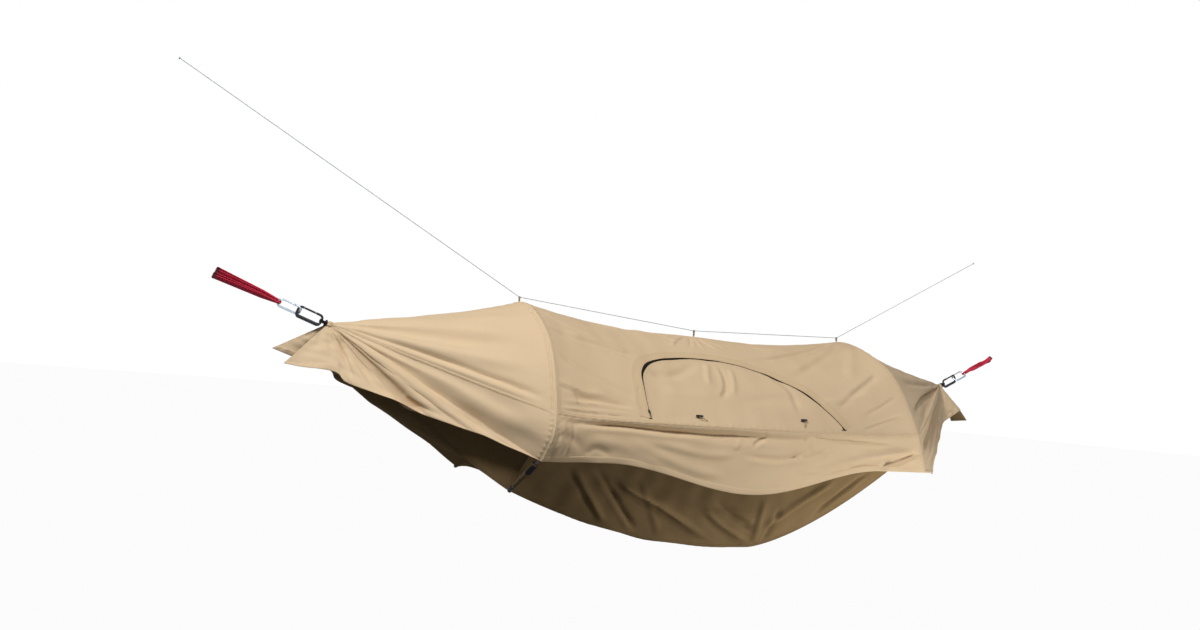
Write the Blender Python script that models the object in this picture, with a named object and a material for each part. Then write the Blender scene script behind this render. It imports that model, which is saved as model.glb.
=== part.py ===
"""A canopied camping hammock: a canvas canopy over two sprung hoops, with a dark tub bed
hung below it, a ridge line above it, and a carabiner chain with a webbing sling at each end.

Everything is modelled in a middle frame: X runs from the head end to the foot end, Y points
away from the door side, Z is up, and the two gathers are level. One empty then shifts the
whole hammock, so that the flat inside of the head sling's far end lies at the world origin.
"""

import math

import bmesh
import bpy
import numpy as np
from mathutils import Matrix, Vector

# Cloth
CANVAS = 0.0016  # canopy canvas with its inner coating
TUB_CLOTH = 0.0016  # heavier cloth of the bed
SEAM_GAP = 0.0006  # taken off each side of a sewn seam
FIT_GAP = 0.0003  # between pieces that touch

# The two gathers, where all the cloth is bunched
GATHERS = {-1: (-1.580, 0.0, -0.008), 1: (1.565, 0.0, -0.008)}
KNOT_RADIUS = 0.0250
CLOTH_START = 0.0268  # the cloth leaves the knot at this radius

# Hoops, as half outlines on the far side: peak, shoulder, long seam, haunch, foot
HEAD_HOOP = ((-0.846, 0.0, 0.165), (-0.850, 0.360, 0.018), (-0.868, 0.550, -0.262),
             (-0.896, 0.535, -0.410), (-0.949, 0.372, -0.563))
FOOT_HOOP = ((0.846, 0.0, 0.162), (0.866, 0.325, 0.023), (0.905, 0.480, -0.262),
             (0.925, 0.455, -0.345), (0.930, 0.385, -0.400))
POLE_RADIUS = 0.00475
POLE_CLEARANCE = 0.0028  # between the pole and the canvas
POLE_TUCK = 0.006  # how much further in the pole runs below the long seam

# Canopy between the hoops
RIDGE_SAG = 0.078
MID_BOW = 0.25  # share of the hoops' bow that the slack middle keeps
SEAM_PULL_IN = 0.030
SEAM_DROP = 0.016
SKIRT_FLARE = 0.020
SKIRT_BELLY = 0.107  # how far the hem hangs lower in the middle
BELLY_HALF_SPAN = 0.363  # as a share of the length between the hoops
HEAD_HEM_AT = 1.56  # where the hem crosses the head hoop: 1 is the long seam, 2 the foot
FOOT_HEM = (0.935, 0.500, -0.420)

# Free hem of each canopy end, from the hoop round to the tip of the tail
HEAD_HEM = ((-1.092, 0.410, -0.355), (-1.248, 0.310, -0.310), (-1.369, 0.225, -0.258),
            (-1.473, 0.160, -0.229), (-1.522, 0.125, -0.209), (-1.554, 0.105, -0.179),
            (-1.657, 0.075, -0.170), (-1.728, 0.060, -0.162))
FOOT_HEM_END = ((1.060, 0.425, -0.428), (1.157, 0.340, -0.436), (1.223, 0.290, -0.379),
                (1.432, 0.140, -0.247), (1.500, 0.090, -0.201), (1.587, 0.070, -0.161),
                (1.661, 0.060, -0.125))
FAR_LEAF_LIFT = (-0.036, 0.0, 0.052)  # the far side's head tail sits higher and further out
END_SAG = {-1: 0.006, 1: 0.032}  # how far each end's ridge hangs below a straight line
SOFT_FOLD = 0.0045  # folds that run out from the gather and die at the hoop
SOFT_FOLDS = 4
TAIL_PLEAT = 0.010  # pleats at the free hem
TAIL_PLEATS = 6
FAN_ROWS = 5
HOOP_STEPS = 8
EDGE_STEPS = 4
HEM_STEPS = 18
LONG_STEPS = 20  # along the long seam, the same for every piece that meets there

# Tub
TUB_TOP_INSET = 0.003  # inside the canvas, along the long seam
TUB_HOOP_INSET = 0.022  # and where it passes behind a pole
TUB_CORNER_INSET = 0.030
TUB_LOW_X = 0.090
TUB_LOW_Z = -0.752
TUB_BELLY_HEAD = 2.2  # powers of the bottom edge's curve on each side of its lowest point
TUB_BELLY_FOOT = 1.12
TUB_MID_FLARE = 0.030
WALL_BULGE = 0.020
FLOOR_END_LIFT = 0.040
FLOOR_SAG = 0.030
TUB_APEX_RADIUS = 0.010
TUB_APEX_OUT = 0.0272
TUB_APEX_DROP = 0.010
FOLD_GAP = 0.0022  # taken off where two panels meet at a sharp angle
TUB_TAIL = ((0.162, -0.117), (0.217, -0.171), (0.097, -0.180))  # from the gather, X out and Z
HEAD_TAIL_SHARE = 0.6  # the head end's tail is smaller
TUB_HANG = {-1: (-1.600, 0.0, -0.280), 1: (1.430, 0.0, -0.150)}  # what each end sags towards

# Door, in the panel's own plane: along the hinge, and up the slope from the long seam
DOOR_BASE = 0.024
DOOR_OUTLINE = ((-0.466, 0.024), (-0.452, 0.140), (-0.420, 0.260), (-0.330, 0.352),
                (-0.180, 0.402), (-0.030, 0.412), (0.130, 0.392), (0.270, 0.320),
                (0.385, 0.225), (0.470, 0.110), (0.515, 0.024))
ZIP_WIDTH = 0.010
ZIP_GAP = 0.0006
HINGE_GAP = 0.0040
HINGE_OUT = 0.0085  # the canvas bulges this far past the straight line that the door folds on
SLIDER_SIZE = (0.0085, 0.015, 0.0040)
PULL_SIZE = (0.0060, 0.030, 0.0014)
SLIDER_UP = 0.030  # how far above the door's base it is parked
SLIDER_TRAVEL = 0.080
SLIDER_STANDOFF = 0.0015

# Toggles, which button the rolled door: the cord's place along the hinge, then the barrel's
# place along the hinge and up the slope
TOGGLE_PLACES = (("toggle_head", -0.206, -0.236, 0.046), ("toggle_foot", 0.290, 0.300, 0.060))
TOGGLE_UP = 0.028  # the cord's place up the slope
TOGGLE_LENGTH = 0.034
TOGGLE_RADIUS = 0.0045
TOGGLE_STANDOFF = 0.009
TOGGLE_CORD_RADIUS = 0.0013

# Sleeves and hook-and-loop tabs on the lower ends of the hoops
SLEEVE_RADIUS = 0.0100
SLEEVE_BORE = 0.0056
SLEEVE_FROM = 1.64  # places on the hoop, from 1 at the long seam to 2 at the foot
SLEEVE_TO = 1.93
TAB_FROM = 1.66
TAB_TO = 1.80
TAB_RADIUS = 0.0120
TAB_THICKNESS = 0.0018
TAB_ARC = 150
CUP_RADIUS = 0.0080
CUP_DEPTH = 0.020
CUP_FLOOR = 0.003
FOOT_END_SLEEVE_FROM = 1.46
FOOT_END_SLEEVE_TO = 1.80

# Ridge line and its three hanging loops
RIDGE_LINE_RADIUS = 0.0015
HEAD_TIE = (-2.173, 0.0, 0.869)
FOOT_TIE = (1.786, 0.0, 0.690)
HEAD_LOOP = (-0.849, 0.0, 0.185)
MID_LOOP = (0.002, 0.0, 0.132)
FOOT_LOOP = (0.838, 0.0, 0.182)
RIDGE_BEND = 0.015  # the line bends within this distance of a loop
RIDGE_COUNTS = (14, 4, 4, 9, 4, 4, 9, 4, 4, 11)
KNOT_SIZE = 0.0055
LOOP_WIDTH = 0.006
LOOP_THICKNESS = 0.0012
LOOP_HALF_GAP = 0.0034

# Hanging chains: degrees above level, the bright carabiner's turn about the chain, then how
# far from the gather the sling ends and how far apart its two legs are there
CHAINS = {
    -1: {"rise": 19.66, "twist": 45, "sling_end": 0.4315, "legs": 0.016},
    1: {"rise": 25.2, "twist": -45, "sling_end": 0.4250, "legs": 0.010},
}
LINK_START = 0.0295  # where the black carabiner begins
LINK_CLEARANCE = 0.0004
BLACK_LINK = {"length": 0.100, "width": 0.046, "bar": 0.0090, "spine": 0.0135, "corner": 0.0120}
BRIGHT_LINK = {"length": 0.088, "width": 0.044, "bar": 0.0074, "spine": 0.0086, "corner": 0.0120}
GATE_LOW = 0.30  # ends of the gate, as shares of the carabiner's length
GATE_HIGH = 0.77
GATE_THICKNESS = 0.84  # as a share of the bar
GATE_END_GAP = 0.0006
PIN_RADIUS = 0.0012
PIN_CLEARANCE = 0.0003
CHEEK = 0.0012
END_LOOP_WIDTH = 0.020
END_LOOP_THICKNESS = 0.0022
END_LOOP_PINCH = 0.62  # share of its width where it is bunched on the bar
SLING_WIDTH = 0.025
SLING_THICKNESS = 0.0024
SLING_LAYERS = 0.0005  # gap between its two layers on the carabiner
EYE_HALF = 0.0065  # half the height of the eye at each end, at the middle of the webbing
EYE_CORNER = 0.0035
SLING_PINCH = 0.40  # share of its width where it is bunched on the carabiner
SLING_SPREAD = 0.060  # it opens to its full width over this length

# Sides of round pieces
TUBE_SIDES = 8

COLOURS = {
    "canvas": ((0.60, 0.45, 0.28), 0.85, 0.0),
    "canvas_end": ((0.62, 0.47, 0.30), 0.85, 0.0),
    "tub_cloth": ((0.060, 0.042, 0.022), 0.8, 0.0),
    "pole": ((0.30, 0.31, 0.32), 0.35, 1.0),
    "hook_and_loop": ((0.010, 0.010, 0.011), 0.9, 0.0),
    "black_webbing": ((0.012, 0.012, 0.014), 0.75, 0.0),
    "red_webbing": ((0.48, 0.012, 0.035), 0.6, 0.0),
    "black_metal": ((0.015, 0.018, 0.022), 0.35, 0.7),
    "bright_metal": ((0.62, 0.65, 0.70), 0.22, 1.0),
    "zip_tape": ((0.030, 0.024, 0.018), 0.7, 0.0),
    "black_plastic": ((0.012, 0.012, 0.012), 0.45, 0.0),
    "cord": ((0.62, 0.64, 0.62), 0.6, 0.0),
}

NEAR = -1
FAR = 1
SIDES = (("near", NEAR), ("far", FAR))


def material_for(name):
    """One Principled material per finish, made the first time it is asked for."""
    found = bpy.data.materials.get(name)
    if found:
        return found
    colour, roughness, metallic = COLOURS[name]
    made = bpy.data.materials.new(name)
    made.use_nodes = True
    shader = made.node_tree.nodes["Principled BSDF"]
    shader.inputs["Base Color"].default_value = (*colour, 1.0)
    shader.inputs["Roughness"].default_value = roughness
    shader.inputs["Metallic"].default_value = metallic
    return made


def unit(vectors):
    """The same directions at length one."""
    vectors = np.asarray(vectors, float)
    return vectors / np.linalg.norm(vectors, axis=-1, keepdims=True)


def mixed(first, second, share):
    """A point, or rows of points, between two others."""
    share = np.asarray(share, float)[..., None]
    return np.asarray(first, float) * (1 - share) + np.asarray(second, float) * share


def mirrored(points, side):
    """Far-side points carried to the side asked for."""
    return np.asarray(points, float) * (1.0, side, 1.0)


def spline(points, at):
    """Points on a Catmull-Rom curve; at runs from 0 at the first point up by one a point."""
    points = np.asarray(points, float)
    ends = (2 * points[0] - points[1], 2 * points[-1] - points[-2])
    padded = np.vstack([ends[0], points, ends[1]])
    at = np.atleast_1d(np.asarray(at, float))
    first = np.clip(np.floor(at).astype(int), 0, len(points) - 2)
    part = (at - first)[:, None]
    before, start, stop, after = (padded[first + step] for step in range(4))
    return 0.5 * (
        2 * start
        + (stop - before) * part
        + (2 * before - 5 * start + 4 * stop - after) * part**2
        + (3 * start - before - 3 * stop + after) * part**3
    )


def even_spacing(points, count):
    """The same curve read again at equal steps along its length."""
    steps = np.linalg.norm(np.diff(points, axis=0), axis=1)
    along = np.concatenate([[0.0], np.cumsum(steps)])
    wanted = np.linspace(0, along[-1], count)
    return np.stack([np.interp(wanted, along, points[:, k]) for k in range(3)], axis=1)


def new_object(name, vertices, faces, finish, pivot=(0.0, 0.0, 0.0), smooth=60):
    """A mesh object whose origin is at the pivot, with its faces turned outwards."""
    pivot = np.asarray(pivot, float)
    mesh = bpy.data.meshes.new(name)
    mesh.from_pydata((np.asarray(vertices, float) - pivot).tolist(), [], faces)
    shape = bmesh.new()
    shape.from_mesh(mesh)
    bmesh.ops.recalc_face_normals(shape, faces=shape.faces)
    shape.to_mesh(mesh)
    shape.free()
    mesh.materials.append(material_for(finish))
    mesh.shade_smooth()
    mesh.set_sharp_from_angle(angle=math.radians(smooth))
    made = bpy.data.objects.new(name, mesh)
    bpy.context.scene.collection.objects.link(made)
    made.parent = bpy.data.objects["hammock_middle"]
    made.location = pivot
    return made


def boolean(target, cutter, operation):
    """Joins, cuts or trims the target with a helper, and keeps the result as its mesh."""
    step = target.modifiers.new(operation.lower(), "BOOLEAN")
    step.operation = operation
    step.object = cutter
    bpy.context.view_layer.update()
    graph = bpy.context.evaluated_depsgraph_get()
    result = bpy.data.meshes.new_from_object(target.evaluated_get(graph))
    target.modifiers.clear()
    target.data = result
    bpy.data.objects.remove(cutter, do_unlink=True)


def trimmed_grid(grid, trims):
    """Pulls the first row, last row, first column and last column of a grid inwards."""
    grid = grid.copy()
    pulls = [(0, 1, 0), (-1, -2, 0), (0, 1, 1), (-1, -2, 1)]
    for trim, (edge, inside, axis) in zip(trims, pulls):
        rows = np.moveaxis(grid, axis, 0)
        rows[edge] += unit(rows[inside] - rows[edge]) * trim
    return grid


def sheet(name, grid, thickness, finish, trims=(0, 0, 0, 0), pivot=(0.0, 0.0, 0.0)):
    """A closed sheet of cloth: a grid of points given thickness both ways along its normals.

    Each cell is split along the same diagonal on both faces, so a twisted cell keeps its wall.
    """
    grid = trimmed_grid(np.asarray(grid, float), trims)
    rows, columns = grid.shape[:2]
    down = np.gradient(grid, axis=0)
    across = np.gradient(grid, axis=1)
    normals = unit(np.cross(down, across))
    top = (grid + normals * thickness / 2).reshape(-1, 3)
    bottom = (grid - normals * thickness / 2).reshape(-1, 3)
    index = np.arange(rows * columns).reshape(rows, columns)
    quads = np.stack([index[:-1, :-1], index[1:, :-1], index[1:, 1:], index[:-1, 1:]], axis=-1)
    quads = quads.reshape(-1, 4)
    halves = np.vstack([quads[:, [0, 1, 2]], quads[:, [0, 2, 3]]])
    rim = np.concatenate([index[0, :-1], index[:-1, -1], index[-1, :0:-1], index[:0:-1, 0]])
    after = np.roll(rim, -1)
    below = rows * columns
    walls = np.stack([rim, after, after + below, rim + below], axis=-1)
    faces = halves.tolist() + (halves[:, ::-1] + below).tolist() + walls.tolist()
    return new_object(name, np.vstack([top, bottom]), faces, finish, pivot)


def frames_along(path, closed, up):
    """Tangent, side and up vectors at each point of a path; up is only a first guess."""
    if closed:
        ahead = np.roll(path, -1, axis=0) - np.roll(path, 1, axis=0)
    else:
        ahead = np.gradient(path, axis=0)
    ahead = unit(ahead)
    side = unit(np.cross(ahead, np.broadcast_to(up, path.shape)))
    return ahead, side, np.cross(side, ahead)


def swept(name, path, outline, finish, up, closed=False, scale=None, pivot=(0, 0, 0), smooth=40):
    """An outline of (side, up) points carried along a path, closed on itself or capped."""
    path = np.asarray(path, float)
    outline = np.asarray(outline, float)
    count, around = len(path), len(outline)
    _, side, over = frames_along(path, closed, up)
    sizes = np.ones((count, 2)) if scale is None else np.asarray(scale, float)
    ring = (
        path[:, None]
        + side[:, None] * (outline[None, :, :1] * sizes[:, None, :1])
        + over[:, None] * (outline[None, :, 1:] * sizes[:, None, 1:])
    )
    faces = []
    for step in range(count if closed else count - 1):
        after = (step + 1) % count
        for spot in range(around):
            beside = (spot + 1) % around
            here = step * around
            there = after * around
            faces.append((here + spot, here + beside, there + beside, there + spot))
    if not closed:
        faces.append(tuple(range(around)))
        faces.append(tuple((count - 1) * around + spot for spot in reversed(range(around))))
    return new_object(name, ring.reshape(-1, 3), faces, finish, pivot, smooth)


def round_outline(radius, sides=TUBE_SIDES):
    """A regular polygon whose flats lie square to its side and up directions."""
    turn = (np.arange(sides) + 0.5) * 2 * math.pi / sides
    return np.stack([radius * np.cos(turn), radius * np.sin(turn)], axis=1)


def strap_outline(width, thickness):
    """A flat strap: its width along the side direction."""
    return [(-width / 2, -thickness / 2), (width / 2, -thickness / 2),
            (width / 2, thickness / 2), (-width / 2, thickness / 2)]


def hoop_line(points, at, side):
    """The hoop's outline at 0 (peak) to 1 (long seam) to 2 (foot)."""
    points = np.asarray(points, float)
    before_peak = points[1] * (1, -1, 1)
    curve = spline(np.vstack([before_peak, points]), np.atleast_1d(at) * 2 + 1)
    return mirrored(curve, side)


def ridge_at(share):
    """The canopy's top line between the two peaks; share is 0 at the head hoop."""
    line = mixed(HEAD_HOOP[0], FOOT_HOOP[0], share)
    line[..., 2] -= RIDGE_SAG * 4 * share * (1 - share)
    return line


def long_seam_at(share):
    """The long seam, where canopy, skirt and tub meet; nearly straight between the hoops."""
    line = mixed(HEAD_HOOP[2], FOOT_HOOP[2], share)
    slack = 1 - (2 * share - 1) ** 8
    line[..., 1] -= SEAM_PULL_IN * slack
    line[..., 2] -= SEAM_DROP * slack
    return line


def skirt_hem_at(share):
    """The hem between the hoops, with its belly in the middle."""
    head = hoop_line(HEAD_HOOP, HEAD_HEM_AT, FAR)[0]
    line = mixed(head, FOOT_HEM, share)
    slack = 1 - (2 * share - 1) ** 8
    line[..., 1] += (SKIRT_FLARE - SEAM_PULL_IN) * slack
    reach = np.clip(np.abs(share - 0.5) / BELLY_HALF_SPAN, 0, 1)
    line[..., 2] -= SKIRT_BELLY * np.cos(reach * math.pi / 2) ** 2
    return line


def head_edge(part):
    """The skirt's edge on the head hoop, from the long seam down to the hem."""
    return hoop_line(HEAD_HOOP, 1 + (HEAD_HEM_AT - 1) * np.asarray(part), FAR)


def foot_edge(part):
    """The skirt's edge at the foot hoop, which hangs straight from the long seam."""
    return mixed(FOOT_HOOP[2], FOOT_HEM, np.atleast_1d(part))


def panel_between(share, down, upper, lower, head_line, foot_line, keep):
    """A slack panel between two edges, which keeps part of the bow of the hoops at its ends."""
    flat = mixed(upper(share)[:, None], lower(share)[:, None], down[None, :])
    bows = []
    for line in (head_line, foot_line):
        curve = line(down)
        bows.append(curve - mixed(curve[0], curve[-1], down))
    bow = mixed(bows[0][None], bows[1][None], share[:, None])
    return flat + keep[:, None, None] * bow


def canopy_grid(share, down, side):
    """The canopy between the hoops, from the ridge (down = 0) to the long seam (down = 1)."""
    keep = MID_BOW + (1 - MID_BOW) * np.abs(2 * share - 1) ** 2.2
    grid = panel_between(
        share, down, ridge_at, long_seam_at,
        lambda at: hoop_line(HEAD_HOOP, at, FAR),
        lambda at: hoop_line(FOOT_HOOP, at, FAR),
        keep,
    )
    return mirrored(grid, side)


def skirt_grid(share, down, side):
    """The skirt, from the long seam down to the hem."""
    keep = np.abs(2 * share - 1) ** 4
    grid = panel_between(
        share, down, long_seam_at, skirt_hem_at, head_edge, foot_edge, keep,
    )
    return mirrored(grid, side)


def gather(end):
    """The centre of the bunched cloth: end is -1 at the head and 1 at the foot."""
    return np.array(GATHERS[end])


def fan_grid(end, side):
    """One side of a canopy end: cloth that fans out from the gather to the hoop and the hem.

    Rows go out from the gather. Columns go from the ridge down the hoop to the hem, and along
    the hem to the tip of the tail. Shallow folds die out at the hoop, and pleats grow
    towards the free hem.
    """
    hoop = HEAD_HOOP if end < 0 else FOOT_HOOP
    edge = head_edge if end < 0 else foot_edge
    hem_points = np.array(HEAD_HEM if end < 0 else FOOT_HEM_END)
    if end < 0 and side == FAR:
        hem_points[-3:] += np.outer((0.2, 0.6, 1.0), FAR_LEAF_LIFT)
    top = hoop_line(hoop, np.linspace(0, 1, HOOP_STEPS + 1), FAR)
    lower = edge(np.linspace(0, 1, EDGE_STEPS + 1))[1:]
    hem_route = np.vstack([lower[-1], hem_points])
    dense = spline(hem_route, np.linspace(0, len(hem_points), 16 * len(hem_points)))
    hem = even_spacing(dense, HEM_STEPS + 1)[1:]
    rim = np.vstack([top, lower, hem])
    centre = gather(end)
    start = centre + unit(rim - centre) * CLOTH_START
    out = np.linspace(0, 1, FAN_ROWS + 1) ** 1.25
    grid = mixed(start[None], rim[None], out[:, None])
    normals = unit(np.cross(rim - centre, np.gradient(rim, axis=0)))
    taut = HOOP_STEPS + EDGE_STEPS
    spot = np.arange(len(rim))
    on_hoop = np.clip(spot / taut, 0, 1)
    on_hem = np.clip((spot - taut) / HEM_STEPS, 0, 1)
    soft = SOFT_FOLD * np.sin(on_hoop * SOFT_FOLDS * 2 * math.pi) * (on_hem == 0)
    fade = np.minimum(on_hem * 4, 1)
    pleat = TAIL_PLEAT * np.sin(on_hem * TAIL_PLEATS * 2 * math.pi) * fade
    pleat *= 1 - on_hem * 0.45
    swell = 4 * out * (1 - out)
    lift = swell[:, None] * soft + out[:, None] ** 0.8 * pleat
    grid = grid + lift[..., None] * normals
    by_ridge = np.clip(1 - spot / (HOOP_STEPS / 2), 0, 1)
    grid[..., 2] -= END_SAG[end] * swell[:, None] * by_ridge
    return mirrored(grid, side)


def build_canopy():
    """Eight sewn panels: the two ends, the middle and the skirt, on each side."""
    share = np.linspace(0, 1, LONG_STEPS + 1)
    edge = SEAM_GAP
    for side_name, side in SIDES:
        for end_name, end in (("head", -1), ("foot", 1)):
            grid = fan_grid(end, side)
            sheet(f"canopy_{end_name}_{side_name}", grid, CANVAS, "canvas_end", (0, edge, edge, 0))
        grid = canopy_grid(share, np.linspace(0, 1, HOOP_STEPS + 1), side)
        sheet(f"canopy_middle_{side_name}", grid, CANVAS, "canvas", (edge,) * 4)
        grid = skirt_grid(share, np.linspace(0, 1, EDGE_STEPS + 1), side)
        sheet(f"skirt_{side_name}", grid, CANVAS, "canvas", (edge, edge, edge, 0))


def tub_corner(end, side):
    """A bottom corner of the tub, just inside the foot of a hoop."""
    foot = np.array((HEAD_HOOP if end < 0 else FOOT_HOOP)[-1])
    foot[1] -= TUB_CORNER_INSET
    foot[2] += TUB_CORNER_INSET / 3
    return mirrored(foot, side)


def tub_top(end, side):
    """The tub's top edge where it passes behind a pole, at the long seam."""
    seam = np.array((HEAD_HOOP if end < 0 else FOOT_HOOP)[2])
    seam[1] -= TUB_HOOP_INSET
    seam[2] -= TUB_HOOP_INSET / 3
    return mirrored(seam, side)


def tub_edge_at(share, side):
    """The tub's bottom edge between the corners: two curves that meet at the low point."""
    corners = [tub_corner(end, FAR) for end in (-1, 1)]
    line = mixed(corners[0], corners[1], share)
    line[..., 1] += TUB_MID_FLARE * 4 * share * (1 - share)
    head_run = (TUB_LOW_X - line[..., 0]) / (TUB_LOW_X - corners[0][0])
    foot_run = (line[..., 0] - TUB_LOW_X) / (corners[1][0] - TUB_LOW_X)
    head_part = (corners[0][2] - TUB_LOW_Z) * np.clip(head_run, 0, 1) ** TUB_BELLY_HEAD
    foot_part = (corners[1][2] - TUB_LOW_Z) * np.clip(foot_run, 0, 1) ** TUB_BELLY_FOOT
    line[..., 2] = TUB_LOW_Z + head_part + foot_part
    return mirrored(line, side)


def tub_top_at(share, side):
    """The tub's top edge: just under the long seam, and further in behind each pole."""
    line = long_seam_at(share)
    near_pole = np.abs(2 * share - 1) ** 6
    inset = TUB_TOP_INSET + (TUB_HOOP_INSET - TUB_TOP_INSET) * near_pole
    line[..., 1] -= inset
    line[..., 2] -= inset / 3 + TUB_TOP_INSET * (1 - near_pole)
    return mirrored(line, side)


def tub_wall_grid(share, down, side):
    """A side wall of the tub, bulging a little below its middle."""
    grid = mixed(tub_top_at(share, side)[:, None], tub_edge_at(share, side)[:, None], down[None])
    bulge = WALL_BULGE * np.sin(down[None, :] * math.pi) * np.sin(share[:, None] * math.pi)
    grid[..., 1] += side * bulge
    return grid


def floor_line(share, across):
    """The floor across the tub at a station, from the near edge (-1) to the far edge (1)."""
    edge = tub_edge_at(share, FAR)
    hang = FLOOR_END_LIFT - (FLOOR_END_LIFT + FLOOR_SAG) * np.sin(share * math.pi) ** 0.7
    grid = np.repeat(edge[:, None], len(across), axis=1)
    grid[..., 1] *= across[None, :]
    grid[..., 2] += hang[:, None] * (1 - across[None, :] ** 2)
    return grid


def apex_ring(end, turn):
    """Where the tub's cloth leaves the knot: a small arc under the canopy's cloth."""
    ring = np.empty((len(turn), 3))
    ring[:, 0] = gather(end)[0] - end * TUB_APEX_OUT
    ring[:, 1] = TUB_APEX_RADIUS * np.sin(turn)
    ring[:, 2] = gather(end)[2] - TUB_APEX_DROP - TUB_APEX_RADIUS * np.cos(turn)
    return ring


def hung(start, rim, low, out):
    """Cloth that leaves the knot downwards and sags on its way out to its rim."""
    near = mixed(start[None], low, out[:, None])
    beyond = mixed(low, rim[None], out[:, None])
    return mixed(near, beyond, out[:, None])


def build_tub():
    """The bed: two walls and a floor between the hoops, and three panels at each end."""
    share = np.linspace(0, 1, LONG_STEPS + 1)
    down = np.linspace(0, 1, 5)
    across = np.linspace(-1, 1, 7)
    out = np.linspace(0, 1, 6)
    edge = SEAM_GAP
    for side_name, side in SIDES:
        grid = tub_wall_grid(share, down, side)
        sheet(f"tub_wall_{side_name}", grid, TUB_CLOTH, "tub_cloth", (edge, edge, 0, edge))
    grid = floor_line(share, across)
    sheet("tub_floor", grid, TUB_CLOTH, "tub_cloth", (edge,) * 4)
    corner_turn = math.radians(55)
    for end_name, end in (("head", -1), ("foot", 1)):
        rim = floor_line(np.array([0.0 if end < 0 else 1.0]), across)[0]
        start = apex_ring(end, across * corner_turn)
        low = np.broadcast_to(TUB_HANG[end], rim.shape)
        grid = hung(start, rim, low, out)
        trims = (0, edge, FOLD_GAP, FOLD_GAP)
        sheet(f"tub_{end_name}_floor", grid, TUB_CLOTH, "tub_cloth", trims)
        for side_name, side in SIDES:
            rise = np.linspace(0, 1, 5)
            rim = mixed(tub_corner(end, side)[None], tub_top(end, side)[None], rise)
            turn = side * (corner_turn + rise * math.radians(75))
            start = apex_ring(end, turn)
            low = mixed(np.broadcast_to(TUB_HANG[end], rim.shape), (start + rim) / 2, rise)
            grid = hung(start, rim, low, out)
            name = f"tub_{end_name}_side_{side_name}"
            sheet(name, grid, TUB_CLOTH, "tub_cloth", (0, edge, FOLD_GAP, 0))
        share = HEAD_TAIL_SHARE if end < 0 else 1.0
        corners = [gather(end) + (end * x * share, 0, z * share) for x, z in TUB_TAIL]
        rim = np.vstack([mixed(corners[2], corners[1], np.linspace(0, 1, 4)), corners[0]])
        start = gather(end) + unit(rim - gather(end)) * CLOTH_START
        grid = mixed(start[None], rim[None], np.linspace(0, 1, 5)[:, None])
        sheet(f"tub_{end_name}_tail", grid, TUB_CLOTH, "tub_cloth")


def knot_at(name, centre, size, finish):
    """A plain rounded lump: gathered cloth, or a tied knot."""
    mesh = bpy.data.meshes.new(name)
    shape = bmesh.new()
    bmesh.ops.create_uvsphere(shape, u_segments=14, v_segments=9, radius=1.0)
    bmesh.ops.scale(shape, verts=shape.verts, vec=Vector(size))
    shape.to_mesh(mesh)
    shape.free()
    mesh.materials.append(material_for(finish))
    mesh.shade_smooth()
    made = bpy.data.objects.new(name, mesh)
    bpy.context.scene.collection.objects.link(made)
    made.parent = bpy.data.objects["hammock_middle"]
    made.location = centre
    return made


def pole_line(hoop, side_from, side_to, count):
    """The pole's centre line, inside the canvas; the two ends are places on the hoop."""
    at = np.linspace(side_from, side_to, count)
    places = np.abs(at)
    outline = hoop_line(hoop, places, FAR)
    outline[:, 1] *= np.where(at < 0, -1, 1)
    step = 0.01
    ahead = hoop_line(hoop, places + step, FAR) - hoop_line(hoop, np.maximum(places - step, 0), FAR)
    tangent = unit(ahead * (0, 1, 1))
    inward = np.stack([np.zeros(count), tangent[:, 2], -tangent[:, 1]], axis=1)
    inward[:, 1] *= np.where(at < 0, -1, 1)
    tuck = POLE_TUCK * np.clip((places - 0.9) / 0.25, 0, 1)
    offset = CANVAS / 2 + POLE_CLEARANCE + POLE_RADIUS + tuck
    return outline + inward * offset[:, None]


def arc_outline(radius, thickness, degrees, steps):
    """A bent plate's outline: an arc round the origin, open towards minus up."""
    half = math.radians(degrees / 2)
    turn = np.linspace(-half, half, steps) + math.pi / 2
    outer = np.stack([np.cos(turn), np.sin(turn)], axis=1) * (radius + thickness)
    inner = np.stack([np.cos(turn), np.sin(turn)], axis=1)[::-1] * radius
    return np.vstack([outer, inner])


def build_sleeve(name, path, outward):
    """A cloth tube round the lower end of a pole, with an open bore."""
    _, side, over = frames_along(path, False, outward)
    turn = np.arange(TUBE_SIDES) * 2 * math.pi / TUBE_SIDES
    rings = []
    for radius in (SLEEVE_RADIUS, SLEEVE_BORE):
        reach = radius / math.cos(math.pi / TUBE_SIDES)
        rings.append(
            path[:, None]
            + side[:, None] * (np.cos(turn) * reach)[None, :, None]
            + over[:, None] * (np.sin(turn) * reach)[None, :, None]
        )
    count = len(path)
    vertices = np.concatenate([ring.reshape(-1, 3) for ring in rings])
    inner = count * TUBE_SIDES
    faces = []
    for spot in range(TUBE_SIDES):
        beside = (spot + 1) % TUBE_SIDES
        for step in range(count - 1):
            here = step * TUBE_SIDES
            there = here + TUBE_SIDES
            faces.append((here + spot, here + beside, there + beside, there + spot))
            faces.append((inner + here + beside, inner + here + spot,
                          inner + there + spot, inner + there + beside))
        last = (count - 1) * TUBE_SIDES
        for row in (0, last):
            faces.append((row + spot, row + beside, inner + row + beside, inner + row + spot))
    return new_object(name, vertices, faces, "tub_cloth")


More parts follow.
